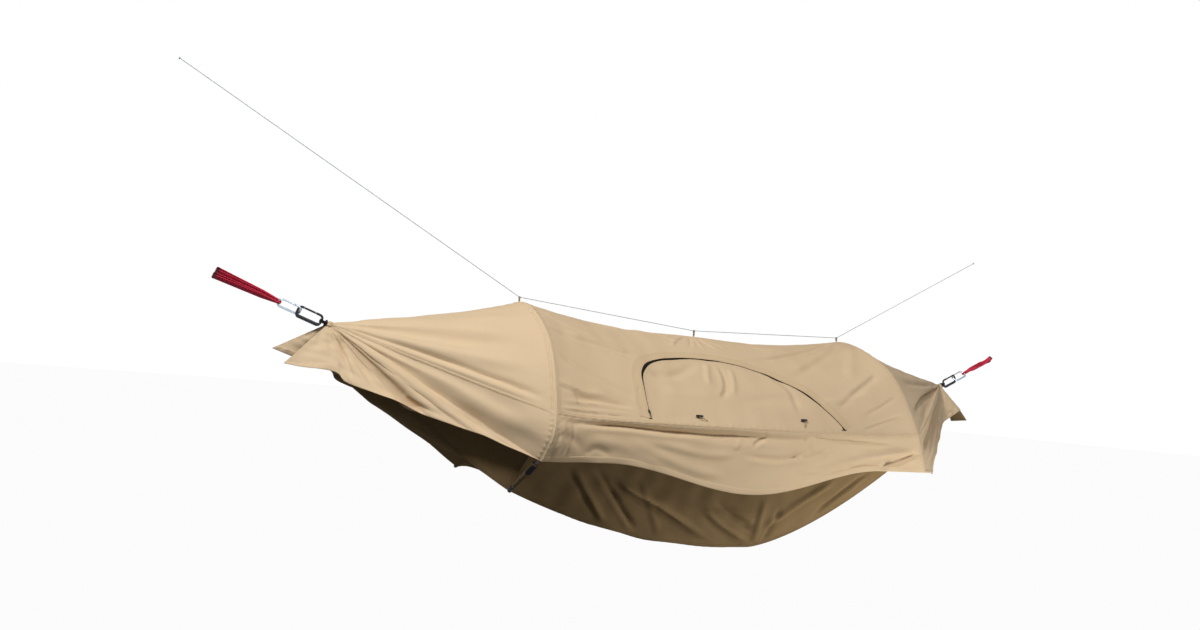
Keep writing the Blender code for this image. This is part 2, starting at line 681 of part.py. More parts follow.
def build_cup(name, foot, inward):
    """A blind cap on the pole's end, which stands in the tub's corner."""
    direction = unit(np.asarray(inward, float))
    stops = ((-CUP_FLOOR - FIT_GAP, CUP_RADIUS), (CUP_DEPTH, CUP_RADIUS),
             (CUP_DEPTH, SLEEVE_BORE), (-FIT_GAP, SLEEVE_BORE))
    side = unit(np.cross(direction, (1.0, 0.0, 0.0)))
    over = np.cross(side, direction)
    turn = np.arange(TUBE_SIDES) * 2 * math.pi / TUBE_SIDES
    rings = []
    for along, radius in stops:
        reach = radius / math.cos(math.pi / TUBE_SIDES)
        around = side * (np.cos(turn) * reach)[:, None] + over * (np.sin(turn) * reach)[:, None]
        rings.append(foot + direction * along + around)
    faces = [tuple(reversed(range(TUBE_SIDES)))]
    for step in range(len(stops) - 1):
        for spot in range(TUBE_SIDES):
            beside = (spot + 1) % TUBE_SIDES
            here = step * TUBE_SIDES
            there = here + TUBE_SIDES
            faces.append((here + spot, here + beside, there + beside, there + spot))
    faces.append(tuple(3 * TUBE_SIDES + spot for spot in range(TUBE_SIDES)))
    return new_object(name, np.vstack(rings), faces, "black_plastic")


def empty_at(name, place):
    """A marked point: a joint's axis or a place that the description needs."""
    mark = bpy.data.objects.new(name, None)
    mark.empty_display_size = 0.02
    bpy.context.scene.collection.objects.link(mark)
    mark.parent = bpy.data.objects["hammock_middle"]
    mark.location = place
    return mark


def build_hoops():
    """Two sprung poles, each with its sleeves, hook-and-loop tabs and corner cups."""
    for end_name, hoop, sleeve_from, sleeve_to in (
        ("head", HEAD_HOOP, SLEEVE_FROM, SLEEVE_TO),
        ("foot", FOOT_HOOP, FOOT_END_SLEEVE_FROM, FOOT_END_SLEEVE_TO),
    ):
        pole = pole_line(hoop, -2, 2, 33)
        swept(f"{end_name}_hoop", pole, round_outline(POLE_RADIUS), "pole", (1.0, 0.0, 0.0))
        for side_name, side in SIDES:
            outward = np.array([0.0, side, -0.6])
            lower = pole_line(hoop, side * sleeve_from, side * sleeve_to, 7)
            build_sleeve(f"{end_name}_sleeve_{side_name}", lower, (1.0, 0.0, 0.0))
            tab_from = sleeve_from + TAB_FROM - SLEEVE_FROM
            tab_to = tab_from + TAB_TO - TAB_FROM
            path = pole_line(hoop, side * tab_from, side * tab_to, 4)
            plate = arc_outline(TAB_RADIUS, TAB_THICKNESS, TAB_ARC, 8)
            ahead, across, over = frames_along(path, False, outward)
            swing = math.radians(90 - TAB_ARC / 2)
            reach = TAB_RADIUS + TAB_THICKNESS / 2
            hinge = path[1] + across[1] * math.cos(swing) * reach + over[1] * math.sin(swing) * reach
            name = f"{end_name}_tab_{side_name}"
            swept(name, path, plate, "hook_and_loop", outward, pivot=hinge)
            empty_at(f"{name}_axis", hinge + ahead[1] * 0.02)
            tail = pole_line(hoop, side * 1.97, side * 2, 2)
            build_cup(f"{end_name}_cup_{side_name}", tail[1], tail[0] - tail[1])


def panel_axes():
    """The door hinge: its middle, and unit vectors along it, up the slope and outwards."""
    share = np.array([0.25, 0.75])
    low = canopy_grid(share, np.array([0.0, 0.5, 0.98, 1.0]), NEAR)
    along = unit(low[1, 3] - low[0, 3])
    middle = canopy_grid(np.array([0.5]), np.array([0.0, 0.5, 1.0]), NEAR)[0]
    seam = middle[2]
    slope = middle[0] - seam
    slope = unit(slope - along * (slope @ along))
    outward = np.cross(along, slope)
    outward *= np.sign(outward @ (0.0, -1.0, 0.0))
    start = seam - along * (seam[0] / along[0])
    return start, along, slope, outward


def door_curve(spread, count):
    """The door's arched edge in panel coordinates, moved outwards by the spread."""
    curve = spline(np.array([(x, up, 0.0) for x, up in DOOR_OUTLINE]),
                   np.linspace(0, len(DOOR_OUTLINE) - 1, 200))
    curve = even_spacing(curve, count)
    ahead = unit(np.gradient(curve, axis=0))
    curve[:, 0] -= ahead[:, 1] * spread
    curve[:, 1] += ahead[:, 0] * spread
    return curve[:, :2]


def prism(outline):
    """A helper block: a panel outline run through the canvas both ways."""
    start, along, slope, outward = panel_axes()
    reach = 0.12
    flat = start + outline[:, :1] * along + outline[:, 1:] * slope
    vertices = np.vstack([flat - outward * reach, flat + outward * reach])
    count = len(outline)
    faces = [tuple(range(count)), tuple(reversed(range(count, 2 * count)))]
    for spot in range(count):
        beside = (spot + 1) % count
        faces.append((spot, beside, beside + count, spot + count))
    block = new_object("door_cutter", vertices, faces, "zip_tape")
    block.hide_render = True
    block.display_type = "WIRE"
    return block


def with_base(curve, base):
    """Carries both ends of an arched curve straight on to a base line."""
    curve = curve.copy()
    for foot, above in ((0, 1), (-1, -2)):
        run = curve[foot] - curve[above]
        curve[foot] += run * (base - curve[foot, 1]) / run[1]
    return curve


def triangulated(target):
    """Splits a sheet's bent faces into flat ones, so that a Boolean cuts them cleanly."""
    shape = bmesh.new()
    shape.from_mesh(target.data)
    bmesh.ops.triangulate(shape, faces=shape.faces)
    shape.to_mesh(target.data)
    shape.free()


def duplicate(original, name, finish):
    """A second object with its own copy of a mesh."""
    copy = bpy.data.objects.new(name, original.data.copy())
    copy.data.materials.clear()
    copy.data.materials.append(material_for(finish))
    bpy.context.scene.collection.objects.link(copy)
    copy.parent = original.parent
    copy.location = original.location
    return copy


def move_origin(target, place):
    """Puts the object's origin on its joint's axis without moving its shape."""
    place = Vector(place)
    target.data.transform(Matrix.Translation(target.location - place))
    target.location = place


def build_door():
    """Cuts the arched doorway, and makes the door, the zip in its gap, and the slider."""
    panel = bpy.data.objects["canopy_middle_near"]
    triangulated(panel)
    door = duplicate(panel, "door_panel", "canvas")
    tape = duplicate(panel, "door_zip", "zip_tape")
    half = ZIP_WIDTH / 2
    steps = 40
    doorway = with_base(door_curve(half, steps), DOOR_BASE - HINGE_GAP)
    boolean(panel, prism(doorway), "DIFFERENCE")
    leaf = with_base(door_curve(-half - ZIP_GAP, steps), DOOR_BASE)
    boolean(door, prism(leaf), "INTERSECT")
    outer = with_base(door_curve(half - ZIP_GAP, steps), DOOR_BASE)
    boolean(tape, prism(outer), "INTERSECT")
    inner = with_base(door_curve(-half, steps), DOOR_BASE - 0.02)
    boolean(tape, prism(inner), "DIFFERENCE")
    start, along, slope, outward = panel_axes()
    hinge = start + slope * (DOOR_BASE - HINGE_GAP) + outward * HINGE_OUT
    move_origin(door, hinge)
    empty_at("door_axis", hinge + along * 0.1)


def panel_place(x, up):
    """The canvas at a place of the door panel, and its outward direction there."""
    start, along, slope, outward = panel_axes()
    seam_run = FOOT_HOOP[2][0] - HEAD_HOOP[2][0]
    guess = np.array([(x - HEAD_HOOP[2][0]) / seam_run, 1 - up / 0.6])
    step = 0.002

    def canvas(share, down):
        return canopy_grid(np.array([share]), np.array([0.0, down, 1.0]), NEAR)[0, 1]

    for _ in range(6):
        here = canvas(*guess)
        by_share = (canvas(guess[0] + step, guess[1]) - here) / step
        by_down = (canvas(guess[0], guess[1] + step) - here) / step
        slopes = np.array([[by_share @ along, by_down @ along], [by_share @ slope, by_down @ slope]])
        miss = np.array([x - (here - start) @ along, up - (here - start) @ slope])
        guess = guess + np.linalg.solve(slopes, miss)
    normal = unit(np.cross(by_share, by_down))
    return here, normal * np.sign(normal @ outward)


def block(name, centre, axes, size, finish, pivot=None):
    """A plain box on its own three axes."""
    axes = [np.asarray(axis) * length / 2 for axis, length in zip(axes, size)]
    signs = [(i, j, k) for i in (-1, 1) for j in (-1, 1) for k in (-1, 1)]
    corners = [centre + sum(sign * axis for sign, axis in zip(row, axes)) for row in signs]
    faces = [(0, 1, 3, 2), (4, 6, 7, 5), (0, 4, 5, 1), (2, 3, 7, 6), (0, 2, 6, 4), (1, 5, 7, 3)]
    return new_object(name, corners, faces, finish, centre if pivot is None else pivot)


def slider_run():
    """The straight stretch of the zip's head-end side: its two ends, just off the canvas."""
    low_x, low_up = DOOR_OUTLINE[0]
    high_x, high_up = DOOR_OUTLINE[1]
    ends = []
    for up in (DOOR_BASE + SLIDER_UP, DOOR_BASE + SLIDER_UP + SLIDER_TRAVEL):
        share = (up - low_up) / (high_up - low_up)
        place, normal = panel_place(low_x + (high_x - low_x) * share, up)
        ends.append(place + normal * (CANVAS / 2 + SLIDER_STANDOFF + SLIDER_SIZE[2] / 2))
    return ends, normal


def build_slider():
    """The zip's slider with its pull, on the straight stretch of the zip."""
    (low, high), normal = slider_run()
    run = unit(high - low)
    side = unit(np.cross(normal, run))
    out = np.cross(run, side)
    body = block("zip_slider", low, (side, run, out), SLIDER_SIZE, "black_plastic")
    lift = (SLIDER_SIZE[2] + PULL_SIZE[2]) / 2 - 0.0004
    pull = low + out * lift - run * (PULL_SIZE[1] - SLIDER_SIZE[1]) / 2
    boolean(body, block("pull_shape", pull, (side, run, out), PULL_SIZE, "black_plastic"), "UNION")
    empty_at("slider_end", high)


def build_toggles():
    """Two barrel toggles on short cords, low on the door, which button it when it is rolled."""
    start, along, slope, outward = panel_axes()
    for name, x, barrel_x, barrel_up in TOGGLE_PLACES:
        anchor, normal = panel_place(x, TOGGLE_UP)
        root = anchor + normal * (CANVAS / 2 + FIT_GAP + 0.0016)
        centre = panel_place(barrel_x, barrel_up)[0] + normal * TOGGLE_STANDOFF
        ends = np.stack([centre - along * TOGGLE_LENGTH / 2, centre + along * TOGGLE_LENGTH / 2])
        shares = np.array([0.0, 0.12, 0.4, 0.6, 0.88, 1.0])
        widths = np.array([0.62, 0.95, 1.0, 1.0, 0.95, 0.62])
        barrel = mixed(ends[0], ends[1], shares)
        swept(name, barrel, round_outline(TOGGLE_RADIUS), "black_plastic", normal,
              scale=np.stack([widths, widths], axis=1), pivot=root)
        meet = centre - slope * (TOGGLE_RADIUS + FIT_GAP)
        approach = meet - slope * 0.005
        halfway = (root + approach) / 2 + normal * 0.002
        stops = np.array([root, root + normal * 0.003, halfway, approach, meet])
        route = spline(stops, np.linspace(0, 4, 9))
        swept(f"{name}_cord", route, round_outline(TOGGLE_CORD_RADIUS), "cord", along, pivot=root)
        empty_at(f"{name}_axis", root)


def chain_axes(end, twist=0.0):
    """Out along a hanging chain, across a link's face, and square to its face."""
    rise = math.radians(CHAINS[end]["rise"])
    out = np.array([end * math.cos(rise), 0.0, math.sin(rise)])
    down = np.array([end * math.sin(rise), 0.0, -math.cos(rise)])
    face = np.array([0.0, 1.0, 0.0])
    turn = math.radians(twist)
    across = down * math.cos(turn) + face * math.sin(turn)
    return out, across, np.cross(out, across)


def arc(centre, radius, first, last, steps):
    """Points on a flat arc between two angles in degrees."""
    turn = np.radians(np.linspace(first, last, steps))
    return np.stack([centre[0] + radius * np.cos(turn), centre[1] + radius * np.sin(turn)], axis=1)


def link_outline(link):
    """A carabiner's bar from its hinge end round to its nose: (along, across) and spine share."""
    half = (link["width"] - link["bar"]) / 2
    low = link["bar"] / 2 + link["corner"]
    high = link["length"] - low
    bend = half - link["corner"]
    boss = link["length"] * GATE_LOW - 0.006
    path = np.vstack([
        [(link["length"] * GATE_LOW, -half), (boss, -half), (boss - 0.002, -half)],
        arc((low, -bend), link["corner"], 270, 180, 5),
        arc((low, bend), link["corner"], 180, 90, 5),
        [(low + (high - low) * 0.25, half), (low + (high - low) * 0.75, half)],
        arc((high, bend), link["corner"], 90, 0, 5),
        arc((high, -bend), link["corner"], 0, -90, 5),
        [(link["length"] * GATE_HIGH, -half)],
    ])
    on_spine = np.clip((path[:, 1] / half - 0.6) / 0.4, 0, 1)
    return path, on_spine, half


def build_link(name, link, end, start, twist):
    """A carabiner: a forged bar with a forked end and a pin, and a gate that turns on the pin."""
    out, across, face = chain_axes(end, twist)
    base = gather(end) + out * start
    path, on_spine, half = link_outline(link)
    line = base + path[:, :1] * out + path[:, 1:] * across
    radius = link["bar"] / 2
    thick = radius * GATE_THICKNESS
    cheek_in = thick + PIN_CLEARANCE
    boss = (cheek_in + CHEEK) / (radius * math.cos(math.pi / TUBE_SIDES))
    sizes = np.ones((len(path), 2))
    sizes[:, 0] += (link["spine"] / link["bar"] - 1) * on_spine
    sizes[:2, 1] = boss
    finish = "black_metal" if link is BLACK_LINK else "bright_metal"
    body = swept(f"{name}_body", line, round_outline(radius), finish, face, scale=sizes)
    body.data.transform(Matrix.Translation(-Vector(base)))
    body.location = base
    pin_along = link["length"] * GATE_LOW + thick + GATE_END_GAP
    pin = base + out * pin_along - across * half
    for sign in (-1, 1):
        middle = pin + face * sign * (cheek_in + CHEEK / 2) - out * (thick * 0.5)
        size = (thick * 3.4, thick * 1.5, CHEEK)
        boolean(body, block("cheek_shape", middle, (out, across, face), size, finish), "UNION")
    rod = np.stack([pin - face * (cheek_in + CHEEK * 0.7), pin + face * (cheek_in + CHEEK * 0.7)])
    boolean(body, swept("pin_shape", rod, round_outline(PIN_RADIUS), finish, out), "UNION")
    turn = np.radians([25, 50, 75, 90])
    low_end = [(-math.cos(t) * thick, math.sin(t)) for t in turn]
    reach = link["length"] * GATE_HIGH - GATE_END_GAP - pin_along
    stops = low_end + [(reach * 0.55, 1.0), (reach, 0.94)]
    gate_line = np.array([pin + out * along for along, _ in stops])
    widths = np.array([[width, width] for _, width in stops])
    gate = swept(f"{name}_gate", gate_line, round_outline(thick), finish, face,
                 scale=widths, pivot=pin)
    bore = np.stack([pin - face * thick * 2, pin + face * thick * 2])
    hole = swept("bore_shape", bore, round_outline(PIN_RADIUS + PIN_CLEARANCE), finish, out)
    hole.hide_render = True
    boolean(gate, hole, "DIFFERENCE")
    empty_at(f"{name}_gate_axis", pin)
    return base + out * (link["length"] - radius), out, across, face


def build_end_loop(name, end):
    """The webbing loop that comes out of the bunched cloth and holds the black carabiner."""
    out, across, face = chain_axes(end)
    bar = LINK_START + BLACK_LINK["bar"] / 2
    radius = BLACK_LINK["bar"] / 2 + LINK_CLEARANCE + END_LOOP_THICKNESS / 2
    bend = arc((bar, 0.0), radius, -90, 90, 9)
    path = np.vstack([[(KNOT_RADIUS + 0.0003, -radius)], bend, [(KNOT_RADIUS + 0.0003, radius)]])
    line = gather(end) + path[:, :1] * out + path[:, 1:] * face
    strap = strap_outline(END_LOOP_WIDTH, END_LOOP_THICKNESS)
    centre = gather(end) + out * bar
    outward = unit(line - centre)
    outward[0] = -face
    outward[-1] = face
    sizes = np.ones((len(path), 2))
    sizes[1:-1, 0] = END_LOOP_PINCH
    swept(name, line, strap, "black_webbing", outward, scale=sizes)
    empty_at(f"{name}_bar", centre)


def build_sling(name, end, bar_place, bar_axes):
    """An endless webbing sling, doubled over the carabiner, with an eye at each of its two ends.

    Its path lies square to the webbing's width: out along the upper leg, round that leg's eye
    and back, under the first layer round the carabiner's bar, and the same along the lower leg.
    """
    out, across, face = bar_axes
    near = (bar_place - gather(end)) @ out
    inner = BRIGHT_LINK["bar"] / 2 + LINK_CLEARANCE + SLING_THICKNESS / 2
    outer = inner + SLING_THICKNESS + SLING_LAYERS
    far = CHAINS[end]["sling_end"] - SLING_THICKNESS / 2 - EYE_CORNER
    middle = CHAINS[end]["legs"]
    reach = EYE_HALF - EYE_CORNER
    eye = np.vstack([
        arc((far, middle + reach), EYE_CORNER, 90, 0, 3),
        arc((far, middle - reach), EYE_CORNER, 0, -90, 3),
    ])
    legs = np.linspace(0, 1, 6)[1:-1]
    outward_leg = mixed((near, outer), (far, middle + EYE_HALF), legs)
    inward_leg = mixed((far, middle - EYE_HALF), (near, inner), legs)
    upper = np.vstack([outward_leg, eye, inward_leg])
    lower = upper[::-1] * (1, -1)
    path = np.vstack([
        arc((near, 0.0), outer, 270, 90, 7), upper, arc((near, 0.0), inner, 90, 270, 7), lower,
    ])
    line = gather(end) + path[:, :1] * out + path[:, 1:] * face
    ahead = unit(np.roll(line, -1, axis=0) - np.roll(line, 1, axis=0))
    spread = np.clip((path[:, 0] - near) / SLING_SPREAD, 0, 1)
    sizes = np.ones((len(path), 2))
    sizes[:, 0] = SLING_PINCH + (1 - SLING_PINCH) * spread
    strap = strap_outline(SLING_WIDTH, SLING_THICKNESS)
    pivot = gather(end) + out * near
    swept(name, line, strap, "red_webbing", np.cross(across, ahead), closed=True, scale=sizes,
          pivot=pivot)
    empty_at(f"{name}_axis", pivot)


def eye_place(end, leg=1):
    """The flat inside of the eye at the end of a sling's leg, where a hook or strap bears."""
    out, _, face = chain_axes(end, CHAINS[end]["twist"])
    reach = CHAINS[end]["sling_end"] - SLING_THICKNESS
    return gather(end) + out * reach + face * leg * CHAINS[end]["legs"]


def build_chains():
    """At each end: gathered knot, webbing loop, black carabiner, bright one and red sling."""
    for end_name, end in (("head", -1), ("foot", 1)):
        knot_at(f"{end_name}_gather", gather(end), (KNOT_RADIUS,) * 3, "tub_cloth")
        build_end_loop(f"{end_name}_end_loop", end)
        upper = build_link(f"{end_name}_black_link", BLACK_LINK, end, LINK_START, 0.0)
        empty_at(f"{end_name}_black_bar", upper[0])
        reach = (upper[0] - gather(end)) @ upper[1]
        start = reach - BLACK_LINK["bar"] / 2 - LINK_CLEARANCE - BRIGHT_LINK["bar"]
        name = f"{end_name}_bright_link"
        bar, *axes = build_link(name, BRIGHT_LINK, end, start, CHAINS[end]["twist"])
        build_sling(f"{end_name}_sling", end, bar, axes)
        empty_at(f"{end_name}_eye", eye_place(end))


def taut_line(stops, counts):
    """A smooth line through its stops that stays straight between the far ones."""
    stops = np.asarray(stops, float)
    runs = unit(np.diff(stops, axis=0))
    headings = unit(np.vstack([runs[:1], runs[:-1] + runs[1:], runs[-1:]]))
    points = []
    for spot, count in enumerate(counts):
        length = np.linalg.norm(stops[spot + 1] - stops[spot])
        part = np.linspace(0, 1, count, endpoint=False)[:, None]
        points.append(
            stops[spot] * (1 - 3 * part**2 + 2 * part**3)
            + stops[spot + 1] * (3 * part**2 - 2 * part**3)
            + headings[spot] * length * (part - 2 * part**2 + part**3)
            + headings[spot + 1] * length * (part**3 - part**2)
        )
    return np.vstack(points + [stops[-1:]])


def ridge_route():
    """The ridge line's stops: its two ties, and each loop with a stop close on either side."""
    ties = [np.array(HEAD_TIE), np.array(FOOT_TIE)]
    loops = [np.array(place) for place in (HEAD_LOOP, MID_LOOP, FOOT_LOOP)]
    places = [ties[0], *loops, ties[1]]
    stops = [ties[0]]
    for spot in (1, 2, 3):
        for other in (-1, 1):
            toward = unit(places[spot + other] - places[spot])
            beside = places[spot] + toward * RIDGE_BEND
            stops += [beside, places[spot]] if other < 0 else [beside]
    return stops + [ties[1]]


def build_ridge_line():
    """The cord above the canopy, a stopper knot at each end, and the loops that hang on it."""
    line = taut_line(ridge_route(), RIDGE_COUNTS)
    curve = bpy.data.curves.new("ridge_line", "CURVE")
    curve.dimensions = "3D"
    curve.bevel_depth = RIDGE_LINE_RADIUS
    curve.bevel_resolution = 2
    curve.use_fill_caps = True
    path = curve.splines.new("POLY")
    path.points.add(len(line) - 1)
    path.points.foreach_set("co", np.hstack([line, np.ones((len(line), 1))]).ravel())
    curve.materials.append(material_for("cord"))
    made = bpy.data.objects.new("ridge_line", curve)
    bpy.context.scene.collection.objects.link(made)
    made.parent = bpy.data.objects["hammock_middle"]
    for name, place, before in (("ridge_knot_head", line[0], line[1]),
                                ("ridge_knot_foot", line[-1], line[-2])):
        centre = place + unit(place - before) * (KNOT_SIZE + FIT_GAP)
        knot_at(name, centre, (KNOT_SIZE,) * 3, "cord")
    for name, place, canvas_top in (
        ("ridge_loop_head", HEAD_LOOP, HEAD_HOOP[0][2]),
        ("ridge_loop_middle", MID_LOOP, (HEAD_HOOP[0][2] + FOOT_HOOP[0][2]) / 2 - RIDGE_SAG),
        ("ridge_loop_foot", FOOT_LOOP, FOOT_HOOP[0][2]),
    ):
        radius = LOOP_HALF_GAP + LOOP_THICKNESS / 2
        top = place[2] + RIDGE_LINE_RADIUS + LOOP_HALF_GAP / 2 - LOOP_HALF_GAP
        low = canvas_top + CANVAS + LOOP_THICKNESS / 2 + radius + FIT_GAP
        flat = np.vstack([arc((0.0, top), radius, 0, 180, 7), arc((0.0, low), radius, 180, 360, 7)])
        ring = np.column_stack([np.full(len(flat), place[0]), flat])
        core = ring.copy()
        core[:, 1] = 0.0
        core[:, 2] = np.clip(ring[:, 2], low, top)
        swept(name, ring, strap_outline(LOOP_WIDTH, LOOP_THICKNESS), "canvas", ring - core,
              closed=True)


def build():
    """Clears the scene and makes every piece."""
    for old in list(bpy.data.objects):
        bpy.data.objects.remove(old, do_unlink=True)
    middle = bpy.data.objects.new("hammock_middle", None)
    bpy.context.scene.collection.objects.link(middle)
    middle.location = -Vector(eye_place(-1))
    build_canopy()
    build_tub()
    build_hoops()
    build_door()
    build_slider()
    build_toggles()
    build_chains()
    build_ridge_line()


build()
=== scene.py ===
"""A canopied camping hammock, hung up slack and empty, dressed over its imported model.

Every piece is worked out in the hammock's middle frame: X runs from the head end to the foot
end, Y points away from the door side, Z is up. SHIFT then carries it into the row frame.
"""

import math

import bpy
import numpy as np
from mathutils import Matrix


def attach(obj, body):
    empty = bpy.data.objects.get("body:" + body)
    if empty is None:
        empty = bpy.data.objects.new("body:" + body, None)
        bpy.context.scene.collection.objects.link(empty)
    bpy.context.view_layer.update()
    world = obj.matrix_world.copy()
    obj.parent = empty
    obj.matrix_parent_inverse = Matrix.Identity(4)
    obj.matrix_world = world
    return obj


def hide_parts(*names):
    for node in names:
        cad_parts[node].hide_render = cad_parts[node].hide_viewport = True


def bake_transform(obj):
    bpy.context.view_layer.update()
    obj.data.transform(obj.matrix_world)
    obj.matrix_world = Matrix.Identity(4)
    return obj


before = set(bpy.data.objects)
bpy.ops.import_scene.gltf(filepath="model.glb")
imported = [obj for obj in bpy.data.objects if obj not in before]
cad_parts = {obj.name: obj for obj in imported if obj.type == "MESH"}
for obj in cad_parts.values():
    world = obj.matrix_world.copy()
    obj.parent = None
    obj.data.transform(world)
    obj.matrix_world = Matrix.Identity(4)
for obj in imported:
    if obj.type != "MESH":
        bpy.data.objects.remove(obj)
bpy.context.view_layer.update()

NEAR = -1
FAR = 1
SIDES = (("near", NEAR), ("far", FAR))
ENDS = (("head", -1), ("foot", 1))

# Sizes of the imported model, in metres
CANVAS = 0.0016
TUB_CLOTH = 0.0016
FIT_GAP = 0.0003
GATHERS = {-1: np.array((-1.58, 0.0, -0.008)), 1: np.array((1.565, 0.0, -0.008))}
KNOT_RADIUS = 0.025
CLOTH_START = 0.0268
HEAD_HOOP = ((-0.846, 0.0, 0.165), (-0.85, 0.36, 0.018), (-0.868, 0.55, -0.262),
             (-0.896, 0.535, -0.41), (-0.949, 0.372, -0.563))
FOOT_HOOP = ((0.846, 0.0, 0.162), (0.866, 0.325, 0.023), (0.905, 0.48, -0.262),
             (0.925, 0.455, -0.345), (0.93, 0.385, -0.4))
HOOPS = {-1: HEAD_HOOP, 1: FOOT_HOOP}
POLE_RADIUS = 0.00475
POLE_CLEARANCE = 0.0028
POLE_TUCK = 0.006
RIDGE_SAG = 0.078
LOOP_PULL = 0.019
MID_BOW = 0.25
SEAM_PULL_IN = 0.03
SEAM_DROP = 0.016
SKIRT_FLARE = 0.02
SKIRT_BELLY = 0.107
BELLY_HALF_SPAN = 0.363
HEAD_HEM_AT = 1.56
FOOT_HEM = (0.935, 0.5, -0.42)
HEAD_HEM = ((-1.092, 0.41, -0.355), (-1.248, 0.31, -0.31), (-1.369, 0.225, -0.258),
            (-1.473, 0.16, -0.229), (-1.522, 0.125, -0.209), (-1.554, 0.105, -0.179),
            (-1.657, 0.075, -0.17), (-1.728, 0.06, -0.162))
FOOT_HEM_END = ((1.06, 0.425, -0.428), (1.157, 0.34, -0.436), (1.223, 0.29, -0.379),
                (1.432, 0.14, -0.247), (1.5, 0.09, -0.201), (1.587, 0.07, -0.161),
                (1.661, 0.06, -0.125))
FAR_LEAF_LIFT = (-0.036, 0.0, 0.052)
FAR_LEAF_TURN = (-0.02, -0.025, 0.02)
END_SAG = {-1: 0.019, 1: 0.061}
SOFT_FOLD = 0.0045
SOFT_FOLDS = 4
TAIL_PLEAT = 0.01
TAIL_PLEATS = 6
TUB_TOP_INSET = 0.003
TUB_HOOP_INSET = 0.022
TUB_CORNER_INSET = 0.03
TUB_LOW_X = 0.09
TUB_LOW_Z = -0.759
TUB_BELLY_HEAD = 2.2
TUB_BELLY_FOOT = 1.42
TUB_MID_FLARE = 0.03
WALL_BULGE = 0.02
WALL_TUCK = 0.026
FLOOR_END_LIFT = (0.062, 0.04)
FAR_EDGE_LIFT = 0.032
FAR_LIFT_AT = 0.06
FLOOR_SAG = 0.03
TUB_APEX_RADIUS = 0.01
TUB_APEX_OUT = 0.0272
TUB_APEX_DROP = 0.01
CORNER_TURN = math.radians(55)
SIDE_TURN = math.radians(75)
TUB_TAIL = ((0.162, -0.117), (0.217, -0.171), (0.097, -0.18))
HEAD_TAIL = ((0.05, -0.098), (0.085, -0.14), (0.02, -0.145))
TUB_HANG = {-1: (-1.65, 0.0, -0.24), 1: (1.43, 0.0, -0.15)}
EDGE_DROP = 0.075
EDGE_TAUT = 2.6
DOOR_BASE = 0.024
DOOR_OUTLINE = ((-0.466, 0.024), (-0.452, 0.14), (-0.42, 0.26), (-0.33, 0.352),
                (-0.18, 0.402), (-0.03, 0.412), (0.13, 0.392), (0.27, 0.32),
                (0.385, 0.225), (0.47, 0.11), (0.515, 0.024))
ZIP_HALF = 0.005
ZIP_GAP = 0.0006
HINGE_GAP = 0.004
SLIDER_SIZE = (0.0085, 0.015, 0.004)
PULL_SIZE = (0.006, 0.03, 0.0014)
SLIDER_UP = 0.03
SLIDER_TRAVEL = 0.08
SLIDER_STANDOFF = 0.0015
TOGGLE_PLACES = (("head", -0.206, -0.236, 0.046), ("foot", 0.29, 0.3, 0.06))
TOGGLE_UP = 0.028
TOGGLE_LENGTH = 0.034
TOGGLE_RADIUS = 0.0045
TOGGLE_STANDOFF = 0.009
TOGGLE_CORD_RADIUS = 0.0013
SLEEVE_RADIUS = 0.01
SLEEVE_BORE = 0.0056
SLEEVES = {-1: (HEAD_HOOP, 1.64, 1.93), 1: (FOOT_HOOP, 1.46, 1.8)}
TAB_FROM = 0.004
TAB_RUN = 0.1008
TAB_RADIUS = 0.012
TAB_THICKNESS = 0.0018
TAB_ARC = 150
CUP_RADIUS = 0.008
CUP_DEPTH = 0.02
CUP_FLOOR = 0.003
RIDGE_LINE_RADIUS = 0.0015
HEAD_TIE = (-2.173, 0.0, 0.869)
FOOT_TIE = (1.786, 0.0, 0.69)
RIDGE_LOOPS = {"head": (-0.849, 0.0, 0.185), "middle": (0.002, 0.0, 0.132),
               "foot": (0.838, 0.0, 0.182)}
RIDGE_BEND = 0.015
KNOT_SIZE = 0.0055
LOOP_WIDTH = 0.006
LOOP_THICKNESS = 0.0012
LOOP_HALF_GAP = 0.0034
CHAINS = {
    -1: {"rise": 19.66, "twist": 45, "sling_end": 0.4315, "legs": 0.016, "roll": 0},
    1: {"rise": 25.2, "twist": -45, "sling_end": 0.425, "legs": 0.01, "roll": 62},
}
LINK_START = 0.0295
LINK_CLEARANCE = 0.0004
BLACK_LINK = {"length": 0.1, "width": 0.046, "bar": 0.009, "spine": 0.0135, "corner": 0.012}
BRIGHT_LINK = {"length": 0.088, "width": 0.044, "bar": 0.0074, "spine": 0.0086, "corner": 0.012}
GATE_LOW = 0.3
GATE_HIGH = 0.77
GATE_THICKNESS = 0.84
GATE_END_GAP = 0.0006
PIN_RADIUS = 0.0012
PIN_CLEARANCE = 0.0003
CHEEK = 0.0012
END_LOOP_WIDTH = 0.02
END_LOOP_THICKNESS = 0.0022
END_LOOP_PINCH = 0.62
SLING_SHOWN = 0.0195
SLING_THICKNESS = 0.0024
SLING_LAYERS = 0.0005
EYE_HALF = 0.0065
EYE_CORNER = 0.0035
SLING_PINCH = 0.4
SLING_SPREAD = 0.06

# Where the photograph was taken from, in the middle frame, and how the camera was held
CAMERA_PLACE = (-1.935, -3.118, -0.165)
CAMERA_YAW = 25.06
CAMERA_PITCH = 5.26
CAMERA_ROLL = 4.53
CAMERA_LENS = 24.0
FLOOR_HEIGHT = -1.62

